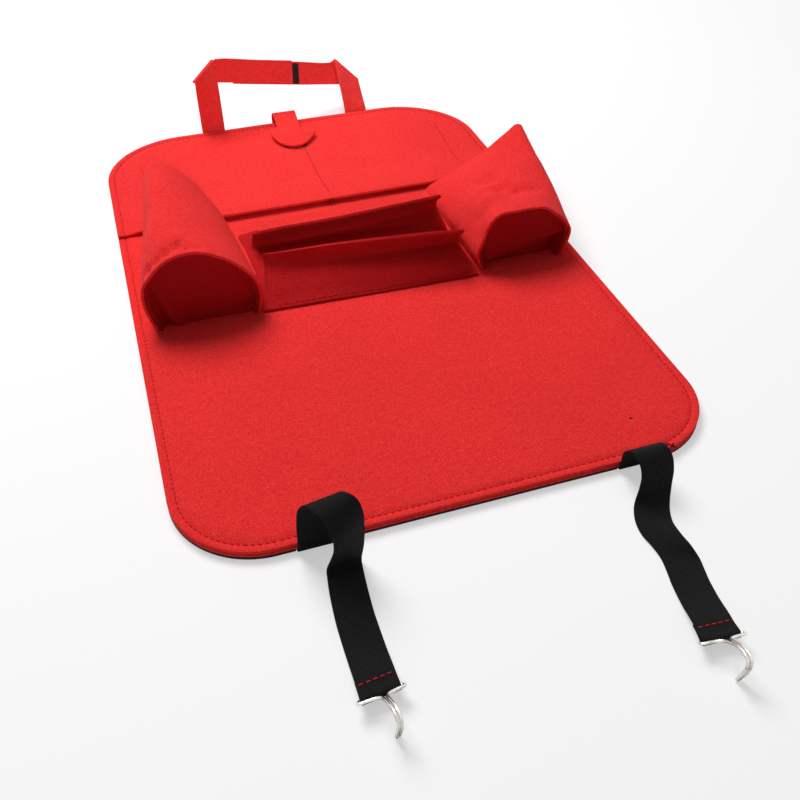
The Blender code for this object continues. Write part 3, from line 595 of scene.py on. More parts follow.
def refined_copy(name, node, finish, offset, bend=None):
    """A copy of a CAD sheet with its flat parts merged and its edges rounded."""
    bm = bmesh.new()
    bm.from_mesh(bpy.data.objects[node].data)
    bmesh.ops.remove_doubles(bm, verts=bm.verts[:], dist=1e-5)
    bmesh.ops.dissolve_limit(bm, angle_limit=radians(1), verts=bm.verts[:], edges=bm.edges[:])
    round_edges(bm, offset)
    if bend:
        for vert in bm.verts:
            vert.co = bend(vert.co)
    return dressed(name, as_mesh(name, bm), finish, [node])


# noise.noise_vector differs from one run of Blender to the next, so its three parts are read from noise.noise
NOISE_SHIFTS = ((9.321, -1.531, -7.951), (0.0, 0.0, 0.0), (6.327, 0.1671, -2.672))


def wander(place):
    """Noise along each axis, the same in every run."""
    return Vector([noise.noise(place + Vector(shift)) for shift in NOISE_SHIFTS])


def uneven(rows, dents, amount, seed):
    """The rows with soft hand-made unevenness and these dents: centre, radius and push, in millimetres."""
    broad, fine = Vector((seed, seed, seed)), Vector((seed, 0, seed))
    out = []
    for row in rows:
        made = []
        for p in row:
            moved = p + wander(p * LUMP_SCALE + broad) * amount
            moved += wander(p * LUMP_SCALE * 3.1 + fine) * amount * 0.4
            for centre, radius, push in dents:
                gap = (p - panel_point(*centre)).length / (radius * MM)
                moved += Vector(push) * (MM * exp(-gap * gap))
            made.append(moved)
        out.append(made)
    return out


def walk(points, distances):
    """Points at these distances along a line of (place, normal)."""
    stations = running([place for place, normal in points])
    out = []
    for wanted in distances:
        i = max(k for k in range(len(points) - 1) if stations[k] <= wanted or k == 0)
        t = (wanted - stations[i]) / max(stations[i + 1] - stations[i], 1e-9)
        place = points[i][0].lerp(points[i + 1][0], t)
        out.append((place, points[i][1].lerp(points[i + 1][1], t).normalized()))
    return out, stations[-1]


def bead(bm, start, end, normal, radius, sink=0.25):
    """One stitch: a rounded grain of thread, partly sunk where it enters the cloth."""
    way = (end - start).normalized()
    side = normal.cross(way).normalized()
    up = way.cross(side).normalized()
    middle = (start + end) / 2 + up * radius * (1 - 2 * sink)
    turn = Matrix((way, side, up)).transposed().to_4x4()
    size = Matrix.Diagonal(((end - start).length / 2, radius, radius, 1.0))
    bmesh.ops.create_uvsphere(
        bm, u_segments=6, v_segments=6, radius=1.0, matrix=Matrix.Translation(middle) @ turn @ size
    )


def stitches(name, points, finish, pitch=STITCH_PITCH, length=STITCH_LENGTH, radius=THREAD_RADIUS):
    """A row of stitches along a line of (place, normal)."""
    dice = random.Random(name)
    bm = bmesh.new()
    total = walk(points, [0.0])[1]
    count = max(1, int(total / pitch))
    for k in range(count):
        start = total * k / count + dice.uniform(-0.06, 0.06) * pitch
        (a, b), _ = walk(points, [max(start, 0.0), min(start + length, total)])
        side = a[1].cross(b[0] - a[0]).normalized() * (dice.uniform(-0.35, 0.35) * radius)
        bead(bm, a[0] - side, b[0] + side, a[1], radius)
    return dressed(name, as_mesh(name, bm), finish)


def on_panel(points):
    """A line on top of the panel through these (x, y), in millimetres from its bottom edge."""
    out = []
    for a, b in zip(points, points[1:]):
        for k in range(12):
            x = (a[0] + (b[0] - a[0]) * k / 12) * MM
            y = (a[1] + (b[1] - a[1]) * k / 12) * MM - HALF_LENGTH
            out.append((Vector((x, y, top_height(x, y))), UP))
    return out


# Panel layers
SIDE_GAP = 0.0003
TAIL_END = HALF_LENGTH - 0.025
LEFT_LEG = (-0.0895, -0.0645)
RIGHT_LEG = (0.0765, 0.1015)
TAB_SIDES = (-0.0093, 0.0166)
LEFT_ELASTIC_X = -0.113
RIGHT_ELASTIC_X = 0.120
NOTCHES = [
    (a - SIDE_GAP, b + SIDE_GAP, TAIL_END - SIDE_GAP, HALF_LENGTH + SIDE_GAP)
    for a, b in (LEFT_LEG, RIGHT_LEG, TAB_SIDES)
]
HALF_NOTCH = ELASTIC_WIDTH / 2 + SIDE_GAP
NOTCHES += [
    (x - HALF_NOTCH, x + HALF_NOTCH, -HALF_LENGTH - SIDE_GAP, SIDE_GAP - TAIL_END)
    for x in (LEFT_ELASTIC_X, RIGHT_ELASTIC_X)
]
panel_layer(
    "lining", -HALF_LENGTH, HALF_LENGTH, 0.0, LINING, BACKING, "back_lining",
    notches=NOTCHES,
)
panel_layer(
    "middle_layer", -HALF_LENGTH, HALF_LENGTH, MAIN_BOTTOM, FELT, FELT_RED, "main_panel"
)
panel_layer(
    "front_layer", -HALF_LENGTH, LOWER_FRONT_END, FRONT_BOTTOM, FELT, FELT_RED,
    "lower_front", grooved=True,
)
panel_layer(
    "upper_layer", LIP_EDGE, HALF_LENGTH, FRONT_BOTTOM, FELT, FELT_RED, "upper_front",
    lift=lip_rise, grooved=True,
)


def perimeter():
    """The seam all round, just inside the edge."""
    ring = outline(-HALF_LENGTH, HALF_LENGTH, SEAM_INSET)
    line = []
    for a, b in zip(ring, [*ring[1:], ring[0]]):
        steps = max(1, int((b - a).length / SEAM_STEP))
        for k in range(steps):
            p = a.lerp(b, k / steps)
            line.append((Vector((p.x, p.y, top_height(p.x, p.y) - SEAM_DEPTH)), UP))
    line.append(line[0])
    return line


stitches("edge_seam", perimeter(), THREAD)
for side, label in ((-1, "left"), (1, "right")):
    stitches(f"{label}_upper_seam", on_panel([(side * 165, 544), (side * 156.5, 435)]), THREAD)
stitches("upper_center_seam", on_panel([(10, 530), (8.3, 406.5)]), DARK_THREAD, radius=0.0004)


# Bottle pockets: sections in millimetres, from the left foot over the top to the right foot
LEFT_BOTTLE = {
    403.5: [(-177, -3), (-172.5, 18), (-168, 37), (-164, 54.5), (-159.5, 62.5), (-153.4, 63.6),
            (-146.3, 61.9), (-134.7, 54.6), (-127, 46.5), (-119.7, 38.1), (-111.5, 25.5),
            (-103.8, 11.8), (-98.5, -3)],
    360: [(-180.5, -3), (-178.5, 16.5), (-174.5, 33.5), (-171, 50.5), (-166.5, 61), (-159, 65), (-149, 64.5),
          (-136, 59), (-125, 51), (-115, 41), (-106.3, 28), (-99.5, 13.5), (-97.8, -3)],
    300: [(-184, -3), (-184.5, 13), (-182, 29), (-179.3, 46), (-174, 59.5), (-165.5, 66.2), (-152, 68),
          (-137, 64), (-122.5, 56), (-110, 45), (-100.5, 31), (-96, 15), (-97.5, -3)],
    250: [(-181, -3), (-185.5, 14), (-188.3, 28), (-187, 43), (-180, 53), (-167, 64.5), (-153, 69),
          (-138, 68), (-122, 60.5), (-108, 49), (-97, 34.5), (-94, 18), (-97.5, -3)],
}
RIGHT_BOTTLE = {
    403.5: [(104.5, -3), (111, 3.5), (121, 8), (135, 13.5), (150, 19.5), (164, 26), (175.7, 31.4), (185, 37),
            (196, 43.2), (207.2, 49.1), (212.1, 47), (206, 26), (189, -3)],
    380: [(104.5, -3), (107.5, 7), (115.5, 14), (128, 22), (142, 28.5), (155.5, 34), (168, 38), (179, 41.5),
          (190.5, 44.8), (200.5, 47), (206, 44.5), (203, 24), (188.5, -3)],
    335: [(104, -3), (104, 10), (110, 21), (121, 32), (134, 38.5), (147, 41.5), (160, 44), (172, 45.5),
          (184, 45.5), (194, 45), (200, 41), (199, 22), (187, -3)],
    290: [(104.5, -3), (101.5, 14), (106.5, 27), (115, 40.5), (126, 48), (139, 48.5), (153, 49.5), (166, 50),
          (176, 47.5), (187, 43), (194, 35), (194.5, 19), (184.5, -3)],
    250: [(106, -3), (100.2, 16.6), (104.5, 31), (110.7, 47.7), (119.3, 54.8), (132.7, 54.6), (146.9, 53.8),
          (160.3, 53.0), (168.2, 48.5), (179.2, 39.6), (188.2, 27), (187, 15), (181.2, -3)],
}
MOUTH_LEAN = 16.5
MOUTH_TOP = 63.0
MOUTH_CLEAR = 10.0
FOOT = -1.4


def bottle_rows(table):
    """Rows from the mouth to the rim; the mouth's top leans over the upper layer's lip."""
    sections = []
    mouth = max(table)
    for y, points in table.items():
        row = []
        for x, z in points:
            lean = MOUTH_LEAN * max(0.0, z - MOUTH_CLEAR) / (MOUTH_TOP - MOUTH_CLEAR) if y == mouth else 0.0
            row.append(panel_point(x, y + lean, max(z, FOOT)))
        sections.append(row)
    return surface(sections, 6, 18)


def inside_ring(rows, y, inset):
    """The pocket's section at y, drawn in by inset."""
    i = next(k for k, row in enumerate(rows) if row[0].y <= y)
    a, b = rows[i - 1], rows[i]
    t = (y - a[0].y) / (b[0].y - a[0].y)
    ring = [p.lerp(q, t) for p, q in zip(a, b)]
    out = []
    for k, p in enumerate(ring):
        way = ring[min(k + 1, len(ring) - 1)] - ring[max(k - 1, 0)]
        way.y = 0
        way.normalize()
        out.append(Vector((p.x + way.z * inset, y, p.z - way.x * inset)))
    return out


# Rows of the sewn-in bottom: place along Y and inset in millimetres, then its share of the full size
BOTTOM_ROWS = [
    (251.2, 2.7, 1.0), (252.6, 2.75, 1.0), (254.2, 2.75, 1.0), (255.6, 2.9, 1.0), (256.6, 3.6, 1.0),
    (257.1, 5.0, 1.0), (257.3, 5.0, 0.95), (257.3, 5.0, 0.88), (257.2, 5.0, 0.80), (257.1, 5.0, 0.70),
    (257.0, 5.0, 0.58), (256.9, 5.0, 0.45), (256.9, 5.0, 0.30), (256.8, 5.0, 0.15), (256.8, 5.0, 0.02),
]
TURNED_ROWS = 3


def bottle_bottom(name, rows, push, node):
    """A half-moon whose edge is turned forward and sewn inside the wall; push moves its face along Y."""
    made = []
    for k, (y, inset, share) in enumerate(BOTTOM_ROWS):
        ring = inside_ring(rows, y * MM - HALF_LENGTH, inset * MM)
        centre = Vector(((ring[0].x + ring[-1].x) / 2, ring[0].y, TOP))
        row = []
        for i, p in enumerate(ring):
            q = centre + (p - centre) * share
            q.y += 0.0006 * noise.noise((i * 0.33, k * 0.4, 5.0)) * (2.0 if k == 0 else 0.5)
            if k > TURNED_ROWS:
                q.y += push(q.x / MM, (q.z - TOP) / MM) * MM * ease(k, TURNED_ROWS, 2 * TURNED_ROWS)
            row.append(q)
        made.append(row)
    return cloth(name, made, POCKET, FELT_SHADED_BOTTOM, [node])


def near_line(x, z, a, b, width):
    """1 on the line from a to b in a bottom's face, falling off over this width."""
    p, a, b = Vector((x, z)), Vector(a), Vector(b)
    t = min(max((p - a).dot(b - a) / (b - a).length_squared, 0.0), 1.0)
    gap = (p - a.lerp(b, t)).length / width
    return exp(-gap * gap)


def left_push(x, z):
    """How far the left bottom's face stands forward at x, z, in millimetres."""
    out = 3.4 * near_line(x, z, (-179, 34), (-171, 0), 3.2)
    out -= 2.6 * near_line(x, z, (-172, 26), (-164, 0), 4.5)
    out += 3.0 * near_line(x, z, (-97, 14), (-108, 4), 3.0)
    out -= 2.4 * near_line(x, z, (-101, 6), (-112, 0), 2.6)
    out -= 2.2 * near_line(x, z, (-150, 34), (-122, 30), 20.0)
    return out


def right_push(x, z):
    """The same on the right, with a fold that rises across the face."""
    line = 21.5 * min(max((x - 105) / 75, 0.0), 1.0) ** 0.6
    out = 6.5 * (1 - ease(z, line - 4.0, line + 3.0)) - 2.2 * near_line(x, z, (112, 4), (178, 23), 4.0)
    out += 3.0 * near_line(x, z, (179, 18), (177, 0), 2.2)
    out += 3.2 * near_line(x, z, (104, 6), (111, 40), 3.0)
    return out


# Creases and dents: centre, radius and push, in millimetres
LEFT_DENTS = [
    ((-184, 261, 42), 5.0, (3.6, 0, 0)),
    ((-179, 260, 53), 4.5, (4.8, 0, -1.6)),
    ((-171, 259.5, 62), 4.2, (2.0, 0, -4.4)),
    ((-162, 261.5, 66.5), 4.2, (0, 0, -5.2)),
    ((-154, 267, 68), 4.5, (0, 0, -5.8)),
    ((-147, 261, 69), 4, (0, 0, -4.8)),
    ((-139, 258.5, 68.5), 3.5, (0, 0, -2.6)),
    ((-150, 280, 67), 5, (0, 0, 2.0)),
    ((-166, 275, 64), 6, (0, 0, 1.2)),
    ((-172, 345, 45), 18, (1.6, 0, 0)),
    ((-178, 290, 50), 12, (-1.2, 0, 0)),
    ((-176, 330, 45), 24, (1.0, 0, 0)),
    ((-125, 300, 50), 22, (0, 0, -1.8)),
    ((-160, 372, 62), 18, (0, 0, 1.6)),
]
RIGHT_DENTS = [
    ((141, 330, 40), 10, (0, 0, -4.6)),
    ((145, 309, 44), 9, (0, 0, -6.6)),
    ((153, 296, 47), 8, (0, 0, -7.0)),
    ((166, 290, 47), 9, (0, 0, -4.4)),
    ((127, 308, 43), 12, (0, 0, 3.2)),
    ((126, 287, 49), 9, (-1.0, 0, 3.0)),
    ((146, 262, 53), 16, (0, 0, 1.8)),
    ((112, 274, 40), 9, (1.8, 0, -1.4)),
    ((185, 340, 44), 16, (0, 0, 1.5)),
]
left_rows = bottle_rows(LEFT_BOTTLE)
right_rows = bottle_rows(RIGHT_BOTTLE)
bottle_bottom("left_pocket_bottom", left_rows, left_push, "left_bottle_base")
bottle_bottom("right_pocket_bottom", right_rows, right_push, "right_bottle_base")
left_wall = uneven(left_rows, LEFT_DENTS, WALL_LUMPS, 1.0)
right_wall = uneven(right_rows, RIGHT_DENTS, WALL_LUMPS, 2.0)
cloth("left_pocket_wall", left_wall, POCKET, FELT_SHADED_WALL, ["left_bottle_wall"])
cloth("right_pocket_wall", right_wall, POCKET, FELT_SHADED_WALL, ["right_bottle_wall"])

# Centre pockets: for each row the left seam, crease and face edge, then the right face edge, crease and seam
FRONT_POCKET = [
    ((-93.5, 249, 1.6), (-88, 249, 1.6), (-82, 249, 1.6),
     (88, 244, 1.6), (94, 244, 1.6), (99.5, 244, 1.6)),
    ((-93.5, 258, 1.6), (-88, 258, 3.2), (-82, 258, 5.0),
     (88, 246.5, 7.0), (94.5, 249, 4.4), (99.5, 250, 1.6)),
    ((-93.5, 268, 1.6), (-87.5, 267, 5.6), (-82, 267, 9.8),
     (88, 253, 14), (94.5, 256, 8), (99.5, 259, 1.6)),
    ((-93.5, 278, 1.6), (-86, 277, 8), (-82, 276, 14.2),
     (88, 262, 18.5), (94, 266, 10), (99.5, 269, 1.6)),
    ((-93.5, 288, 1.6), (-83.5, 286, 10), (-82, 284.5, 18.6),
     (88, 270.5, 20.6), (92, 276, 12), (99.5, 280, 1.6)),
    ((-93.5, 295, 1.6), (-80.5, 292, 11.5), (-82, 289, 23),
     (88, 268, 30.5), (90.5, 282, 16), (99.5, 292, 1.6)),
    ((-93.5, 302, 1.6), (-78, 298, 13), (-82, 292.4, 29.6),
     (88, 256.9, 40.8), (90.5, 284, 19), (99.5, 304, 1.6)),
]
REAR_POCKET = [
    ((-88, 267, 1.6), (-85, 267, 1.6), (-81, 267, 1.6),
     (87, 258, 1.6), (91, 258, 1.6), (94.5, 258, 1.6)),
    ((-88, 288, 1.6), (-85, 288, 1.6), (-81.5, 288, 1.7),
     (87.5, 277, 3.6), (91.0, 278, 2.6), (94.0, 278, 1.6)),
    ((-88.5, 310, 1.6), (-85, 310, 1.6), (-82, 309, 1.8),
     (88, 301, 8.2), (91.5, 301, 4.6), (94.5, 302, 1.6)),
    ((-89.5, 333, 1.6), (-85.5, 333, 1.7), (-82, 332, 2.0),
     (88, 322, 16.8), (94.5, 324, 9.0), (98, 325, 1.6)),
    ((-90, 345, 1.6), (-86, 344.5, 2.4), (-82, 342, 4.0),
     (88, 333, 21.5), (94.5, 336, 11), (99.5, 338, 1.6)),
    ((-90.5, 354, 1.6), (-83.5, 350, 5.5), (-82, 344, 11),
     (88, 331.5, 29), (92, 341, 14), (100.5, 346, 1.6)),
    ((-91.5, 363, 1.6), (-79, 356, 9), (-82, 340, 18.5),
     (88, 324.5, 36), (90.5, 344, 17), (101.5, 354, 1.6)),
    ((-92, 372, 1.6), (-75, 360, 12), (-82, 333, 26.5),
     (88, 315, 43.4), (89.5, 347, 20), (102.5, 362, 1.6)),
]
FRONT_BOW = 3.0
REAR_BOW = 0.0
FACE_STOPS = (0.05, 0.25, 0.5, 0.75, 0.95)


def pocket_rows(table, bow):
    """Rows of a pocket with creased side gussets; bow lifts the middle of the rim, in millimetres."""
    sections = []
    for k, row in enumerate(table):
        left, right = panel_point(*row[2]), panel_point(*row[3])
        raised = bow * MM * (k / (len(table) - 1)) ** 2
        face = [left.lerp(right, t) + UP * (raised * 4 * t * (1 - t)) for t in FACE_STOPS]
        ends = [panel_point(*p) for p in row]
        sections.append([ends[0], ends[1], ends[2], *face, ends[3], ends[4], ends[5]])
    return surface(sections, 6, 5)


FRONT_DENTS = [
    ((-60, 272, 14), 22, (0, 0, -1.6)),
    ((10, 268, 18), 40, (0, 0, -1.0)),
    ((60, 262, 24), 16, (0, 0.8, 0)),
]
REAR_DENTS = [((0, 330, 22), 30, (0, 0, -1.2)), ((50, 318, 34), 20, (0, 0.8, -0.6))]
front_rows = uneven(pocket_rows(FRONT_POCKET, FRONT_BOW), FRONT_DENTS, POCKET_LUMPS, 3.0)
rear_rows = uneven(pocket_rows(REAR_POCKET, REAR_BOW), REAR_DENTS, POCKET_LUMPS, 4.0)
cloth("front_pocket_felt", front_rows, POCKET, FELT_SHADED_FOLD, ["front_center_pocket"])
cloth("rear_pocket_felt", rear_rows, POCKET, FELT_SHADED_FOLD, ["rear_center_pocket"])
FACE_COLUMNS = (13, len(front_rows[0]) - 12)
SEAM_FROM_BOTTOM = 0.0032


def pocket_seam(name, rows):
    """Stitches across a pocket's face, just above its bottom edge."""
    line = []
    for c in range(*FACE_COLUMNS):
        column = [rows[k][c] for k in range(len(rows))]
        stations = running(column)
        k = min(range(1, len(rows) - 1), key=lambda i: abs(stations[i] - SEAM_FROM_BOTTOM))
        t = (SEAM_FROM_BOTTOM - stations[k]) / (stations[k + 1] - stations[k])
        normal = (rows[k][c + 1] - rows[k][c - 1]).cross(rows[k + 1][c] - rows[k - 1][c]).normalized()
        if normal.z < 0:
            normal = -normal
        line.append((column[k].lerp(column[k + 1], t) + normal * POCKET / 2, normal))
    stitches(name, line, THREAD)


pocket_seam("front_pocket_seam", front_rows)
pocket_seam("rear_pocket_seam", rear_rows)

# Closure tab with its wings curling up
TAB_MIDDLE = 0.003
TAB_WING = 0.026
TAB_CURL = 0.0022
TAB_TIP_Y = 0.232
TAB_CURLED_Y = 0.262
TAB_NECK_Y = 0.273


def curl(point):
    """The tab's point with the wings' edges lifted."""
    out = point.copy()
    share = min(abs(point.x - TAB_MIDDLE) / TAB_WING, 1.0)
    if point.y < TAB_NECK_Y and point.z > TOP:
        out.z += TAB_CURL * share * share * ease(point.y, TAB_TIP_Y, TAB_CURLED_Y)
    return out


refined_copy("tab_felt", "closure_tab", FELT_RED, 0.0004, curl)
for name, node, slot in (
    ("tab_hook_pile", "tab_hook_patch", "hook_black"),
    ("tab_loop_pile", "tab_loop_patch", "loop_black"),
    ("strap_hook_pile", "head_strap_hook_tape", "hook_black"),
    ("strap_loop_pile", "head_strap_loop_tape", "loop_black"),
):
    refined_copy(name, node, PILE, 0.0002)

# Head strap: rows of two points, the leg's outer and inner edge, then the cross run's lower and upper edge
FOLD_RADIUS = 0.00145
STRAP_BEND = 2.0
BEND_Y = 599.8
TAIL_MM = (STRAP / 2 - TOP) / MM


def leg_start(sides):
    """The sewn-in tail and the turn up at the panel's edge."""
    outer, inner = sides[0] / MM, sides[1] / MM
    rows = [((outer, y, TAIL_MM), (inner, y, TAIL_MM)) for y in (575, 590)]
    for k in range(4):
        turn = pi / 2 * k / 3
        y = BEND_Y + STRAP_BEND * sin(turn)
        z = TAIL_MM + STRAP_BEND * (1 - cos(turn))
        rows.append(((outer, y, z), (inner, y, z)))
    return [[panel_point(*a), panel_point(*b)] for a, b in rows]


def folded(low, high, along):
    """Rows of the half-turn over the line from low to high; along is the way the leg comes up."""
    line = (high - low).normalized()
    outward = (along - line * along.dot(line)).normalized()
    back = line.cross(outward).normalized()
    if back.y < 0:
        back = -back
    rows = []
    for k in range(7):
        turn = pi * k / 6
        move = back * (FOLD_RADIUS * (1 - cos(turn))) + outward * (FOLD_RADIUS * sin(turn))
        rows.append([low + move, high + move])
    return rows, back


def strap_rows(rows):
    """Each row with a point in its middle."""
    return [[a, a.lerp(b, 0.5), b] for a, b in rows]


LEFT_COMES_UP = Vector((0, 0.444, 0.896))
RIGHT_COMES_UP = Vector((0, 0.741, 0.671))
LEFT_LEG_ROWS = [
    ((-89.5, 603.4, 5), (-64.5, 602.2, 5)),
    ((-89.5, 603.8, 22), (-64.5, 604.6, 24)),
    ((-89.5, 602.0, 41), (-64.5, 609.6, 47)),
]
LEFT_FOLD = (panel_point(-89.5, 599, 58.5), panel_point(-64.5, 621.1, 70.6))
RUN_LEFT = (panel_point(-63.5, 621.2, 46.6), panel_point(-62.0, 624.0, 71.2))
RUN_RIGHT = (panel_point(22.5, 627.2, 31.4), panel_point(23.5, 628.8, 57.0))


def on_run(x_mm, depth=0.0, drop=0.0):
    """Lower and upper point of the left half's cross run at x, moved behind it and down along it."""
    start = RUN_LEFT[0].x / MM
    end = RUN_RIGHT[0].x / MM
    t = (x_mm - start) / (end - start)
    low, high = RUN_LEFT[0].lerp(RUN_RIGHT[0], t), RUN_LEFT[1].lerp(RUN_RIGHT[1], t)
    if t > 1:
        low = RUN_RIGHT[0] + (RUN_RIGHT[0] - RUN_LEFT[0]) * (t - 1)
        high = RUN_RIGHT[1] + (RUN_RIGHT[1] - RUN_LEFT[1]) * (t - 1)
    up = (high - low).normalized()
    behind = up.cross(RUN_RIGHT[0] - RUN_LEFT[0]).normalized()
    if behind.y < 0:
        behind = -behind
    move = behind * depth - up * drop
    return [low + move, high + move]


FOLD_EASE = 2 * FOLD_RADIUS + 0.0004
turned, back = folded(*LEFT_FOLD, LEFT_COMES_UP)
left_half = leg_start(LEFT_LEG) + [[panel_point(*a), panel_point(*b)] for a, b in LEFT_LEG_ROWS] + turned
left_corner = LEFT_FOLD[1] + back * FOLD_EASE + Vector((0.0015, 0.0003, 0))
left_half.append([panel_point(-77.5, 613.0, 51.8), left_corner])
left_half += [list(RUN_LEFT), on_run(-20), on_run(22.5)]
left_half = surface(strap_rows(left_half), 3, 3)
cloth("left_strap_felt", left_half, STRAP, FELT_LIT_STRAP, ["left_head_strap"])

RIGHT_LEG_ROWS = [
    ((101.5, 604.0, 0.5), (76.5, 603.4, 1)),
    ((101.5, 615.5, 9), (76.5, 612.5, 15)),
]
RIGHT_FOLD = (panel_point(101.5, 633.1, 22.7), panel_point(76.5, 642.3, 46.6))
RUN_DEPTH = STRAP + 2 * TAPE + 3 * LAYER_GAP
RUN_DROP = 0.0026
turned, back = folded(*RIGHT_FOLD, RIGHT_COMES_UP)
right_half = leg_start((RIGHT_LEG[1], RIGHT_LEG[0]))
right_half += [[panel_point(*a), panel_point(*b)] for a, b in RIGHT_LEG_ROWS] + turned
right_corner = RIGHT_FOLD[1] + back * FOLD_EASE + Vector((-0.0015, 0, 0))
right_half.append([panel_point(88.0, 641.0, 17.0), right_corner])
right_half.append([panel_point(75.0, 645.5, 16.4), panel_point(72.5, 645.6, 42.2)])
right_half += [on_run(x, RUN_DEPTH, RUN_DROP) for x in (32, 15, -20, -45)]
right_half = surface(strap_rows(right_half), 3, 3)
cloth("right_strap_felt", right_half, STRAP, FELT_LIT_STRAP, ["right_head_strap"])

WIRE_RADIUS = 0.0010
STRAND_OFFSET = 0.00115
BAR_HALF = 0.0124
BAR_TURN = 0.0019
HOOK_BEND_STEPS = 10
LOOP_CLEARANCE = 0.0003

# Elastic straps: middle and direction across at each station
NOTCH_Z = (MAIN_BOTTOM - LAYER_GAP - ELASTIC / 2 - TOP) / MM
FLOOR_Z = (ELASTIC / 2 + 0.0001 - TOP) / MM
LEFT_ELASTIC = [
    ((-113, 24.7, NOTCH_Z), (1, 0, 0)),
    ((-113, 8, NOTCH_Z), (1, 0, 0)),
    ((-113, 0.5, NOTCH_Z), (1, 0, 0)),
    ((-112.9, -1.9, -5.2), (1, 0, 0)),
    ((-112.7, -3.0, -1.5), (1, 0, 0)),
    ((-112.5, -3.6, 11), (1, 0, 0.02)),
    ((-112, -4.4, 26.5), (1, -0.02, 0.08)),
    ((-110.8, -6.6, 40.5), (0.98, -0.04, 0.18)),
    ((-107.5, -13, 51), (0.95, -0.06, 0.28)),
    ((-101.5, -22, 52), (0.95, 0.1, 0.25)),
    ((-97.5, -27.5, 43), (0.9, 0.35, 0.2)),
    ((-96.8, -28.6, 28), (0.9, 0.42, 0.06)),
    ((-98, -26, 12), (0.95, 0.28, 0)),
    ((-99.2, -23.2, 1), (0.98, 0.18, 0)),
    ((-99.6, -22.2, -4.2), (0.98, 0.16, 0)),
    ((-99.9, -23.6, -6.7), (0.98, 0.16, 0)),
    ((-100.4, -27, FLOOR_Z), (0.99, 0.14, 0)),
    ((-101.8, -38, FLOOR_Z), (0.995, 0.08, 0)),
    ((-103.6, -60, FLOOR_Z), (1, 0.04, 0)),
]
RIGHT_ELASTIC = [
    ((120, 24.7, NOTCH_Z), (1, 0, 0)),
    ((120, 8, NOTCH_Z), (1, 0, 0)),
    ((120, 0.5, NOTCH_Z), (1, 0, 0)),
    ((119.8, -2.0, -5.1), (1, 0, 0)),
    ((118.9, -3.6, 2), (1, -0.02, 0)),
    ((117, -6, 12.5), (1, -0.04, 0.04)),
    ((115.5, -10.5, 22), (0.98, -0.06, 0.08)),
    ((115.5, -18, 27.5), (0.97, -0.05, 0.08)),
    ((117.2, -24.5, 24), (0.97, -0.02, 0.04)),
    ((118.6, -28.5, 14), (0.98, 0, 0)),
    ((117.2, -31.5, 4), (0.97, -0.05, 0)),
    ((114.4, -35.5, -4), (0.96, -0.2, 0)),
    ((111.5, -40.5, FLOOR_Z + 0.3), (0.94, -0.3, 0)),
    ((106.5, -52, FLOOR_Z + 1.1), (0.93, -0.36, 0.06)),
    ((104.6, -64, -4.2), (0.88, -0.4, 0.22)),
    ((106, -74, -4.4), (0.9, -0.4, 0.18)),
    ((107.4, -83, -6.5), (0.96, -0.28, 0.02)),
    ((105.6, -94, FLOOR_Z), (0.99, -0.14, 0)),
]
# Hooks' bars: middle and heading in degrees; and the heading at which each strap comes in to its bar
LEFT_BAR = ((-105.1, -117.8, 0.9), 6.0)
LEFT_PULL = -1.5
RIGHT_BAR = ((94.8, -146.2, 0.9), -4.2)
RIGHT_PULL = -11.5
END_SLOPE = radians(10)
LANDING_BACK = 0.046
APPROACH_BACK = 0.030
LOOP_STEPS = 8
HALF_RIBBON_STEPS = 4


def bar_ways(heading):
    """Level forward, across and over the strap at a hook's bar."""
    turn = radians(heading)
    forward = Vector((sin(turn), -cos(turn), 0))
    across = Vector((cos(turn), sin(turn), 0))
    return forward, across, Vector((0, 0, cos(END_SLOPE))) - forward * sin(END_SLOPE)


def pulled(heading):
    """The way a strap comes in to its hook, rising at the end slope."""
    turn = radians(heading)
    return Vector((sin(turn) * cos(END_SLOPE), -cos(turn) * cos(END_SLOPE), sin(END_SLOPE)))


def hook_loop(bar, heading, pull):
    """Stations of the end that is turned back round the hook's bar, from the strap to the sewn end."""
    middle = panel_point(*bar)
    forward, across, over = bar_ways(heading)
    along = forward * cos(END_SLOPE) + Vector((0, 0, sin(END_SLOPE)))
    radius = WIRE_RADIUS + LOOP_CLEARANCE + ELASTIC / 2
    apart = (ELASTIC + LAYER_GAP) / 2
    places = [(-14, apart), (-9, apart), (-5, 0.0012), (-1.6, 0.0018)]
    strap = pulled(pull)
    out = [(middle + strap * (back * MM) + over * up, across) for back, up in places]
    for k in range(LOOP_STEPS + 1):
        angle = pi / 2 - pi * k / LOOP_STEPS
        out.append((middle + along * (radius * cos(angle)) + over * (radius * sin(angle)), across))
    out += [(middle + strap * (back * MM) - over * up, across) for back, up in reversed(places)]
    approach = middle - strap * APPROACH_BACK - over * (ELASTIC / 2)
    return [(approach, across), *out]


def elastic(name, table, bar, heading, pull, slot, node):
    """A ribbed strap from the panel's edge, over its bend and along the floor, to the loop at its hook."""
    stations = [(panel_point(*place), Vector(way).normalized()) for place, way in table]
    forward, across, over = bar_ways(pull)
    landing = panel_point(*bar) - forward * LANDING_BACK
    landing.z = ELASTIC / 2 + 0.0001
    stations.append((landing, across))
    stations += hook_loop(bar, heading, pull)
    places = smooth([place for place, way in stations], 5)
    ways = smooth([way for place, way in stations], 5)
    rows = []
    for place, way in zip(places, ways):
        half = way.normalized() * (ELASTIC_WIDTH / 2)
        rows.append([place + half * (k / HALF_RIBBON_STEPS - 1) for k in range(2 * HALF_RIBBON_STEPS + 1)])
    return cloth(name, rows, ELASTIC, WEBBING, [node])


elastic("left_webbing", LEFT_ELASTIC, *LEFT_BAR, LEFT_PULL, "elastic_left", "left_elastic_strap")
elastic("right_webbing", RIGHT_ELASTIC, *RIGHT_BAR, RIGHT_PULL, "elastic_right", "right_elastic_strap")

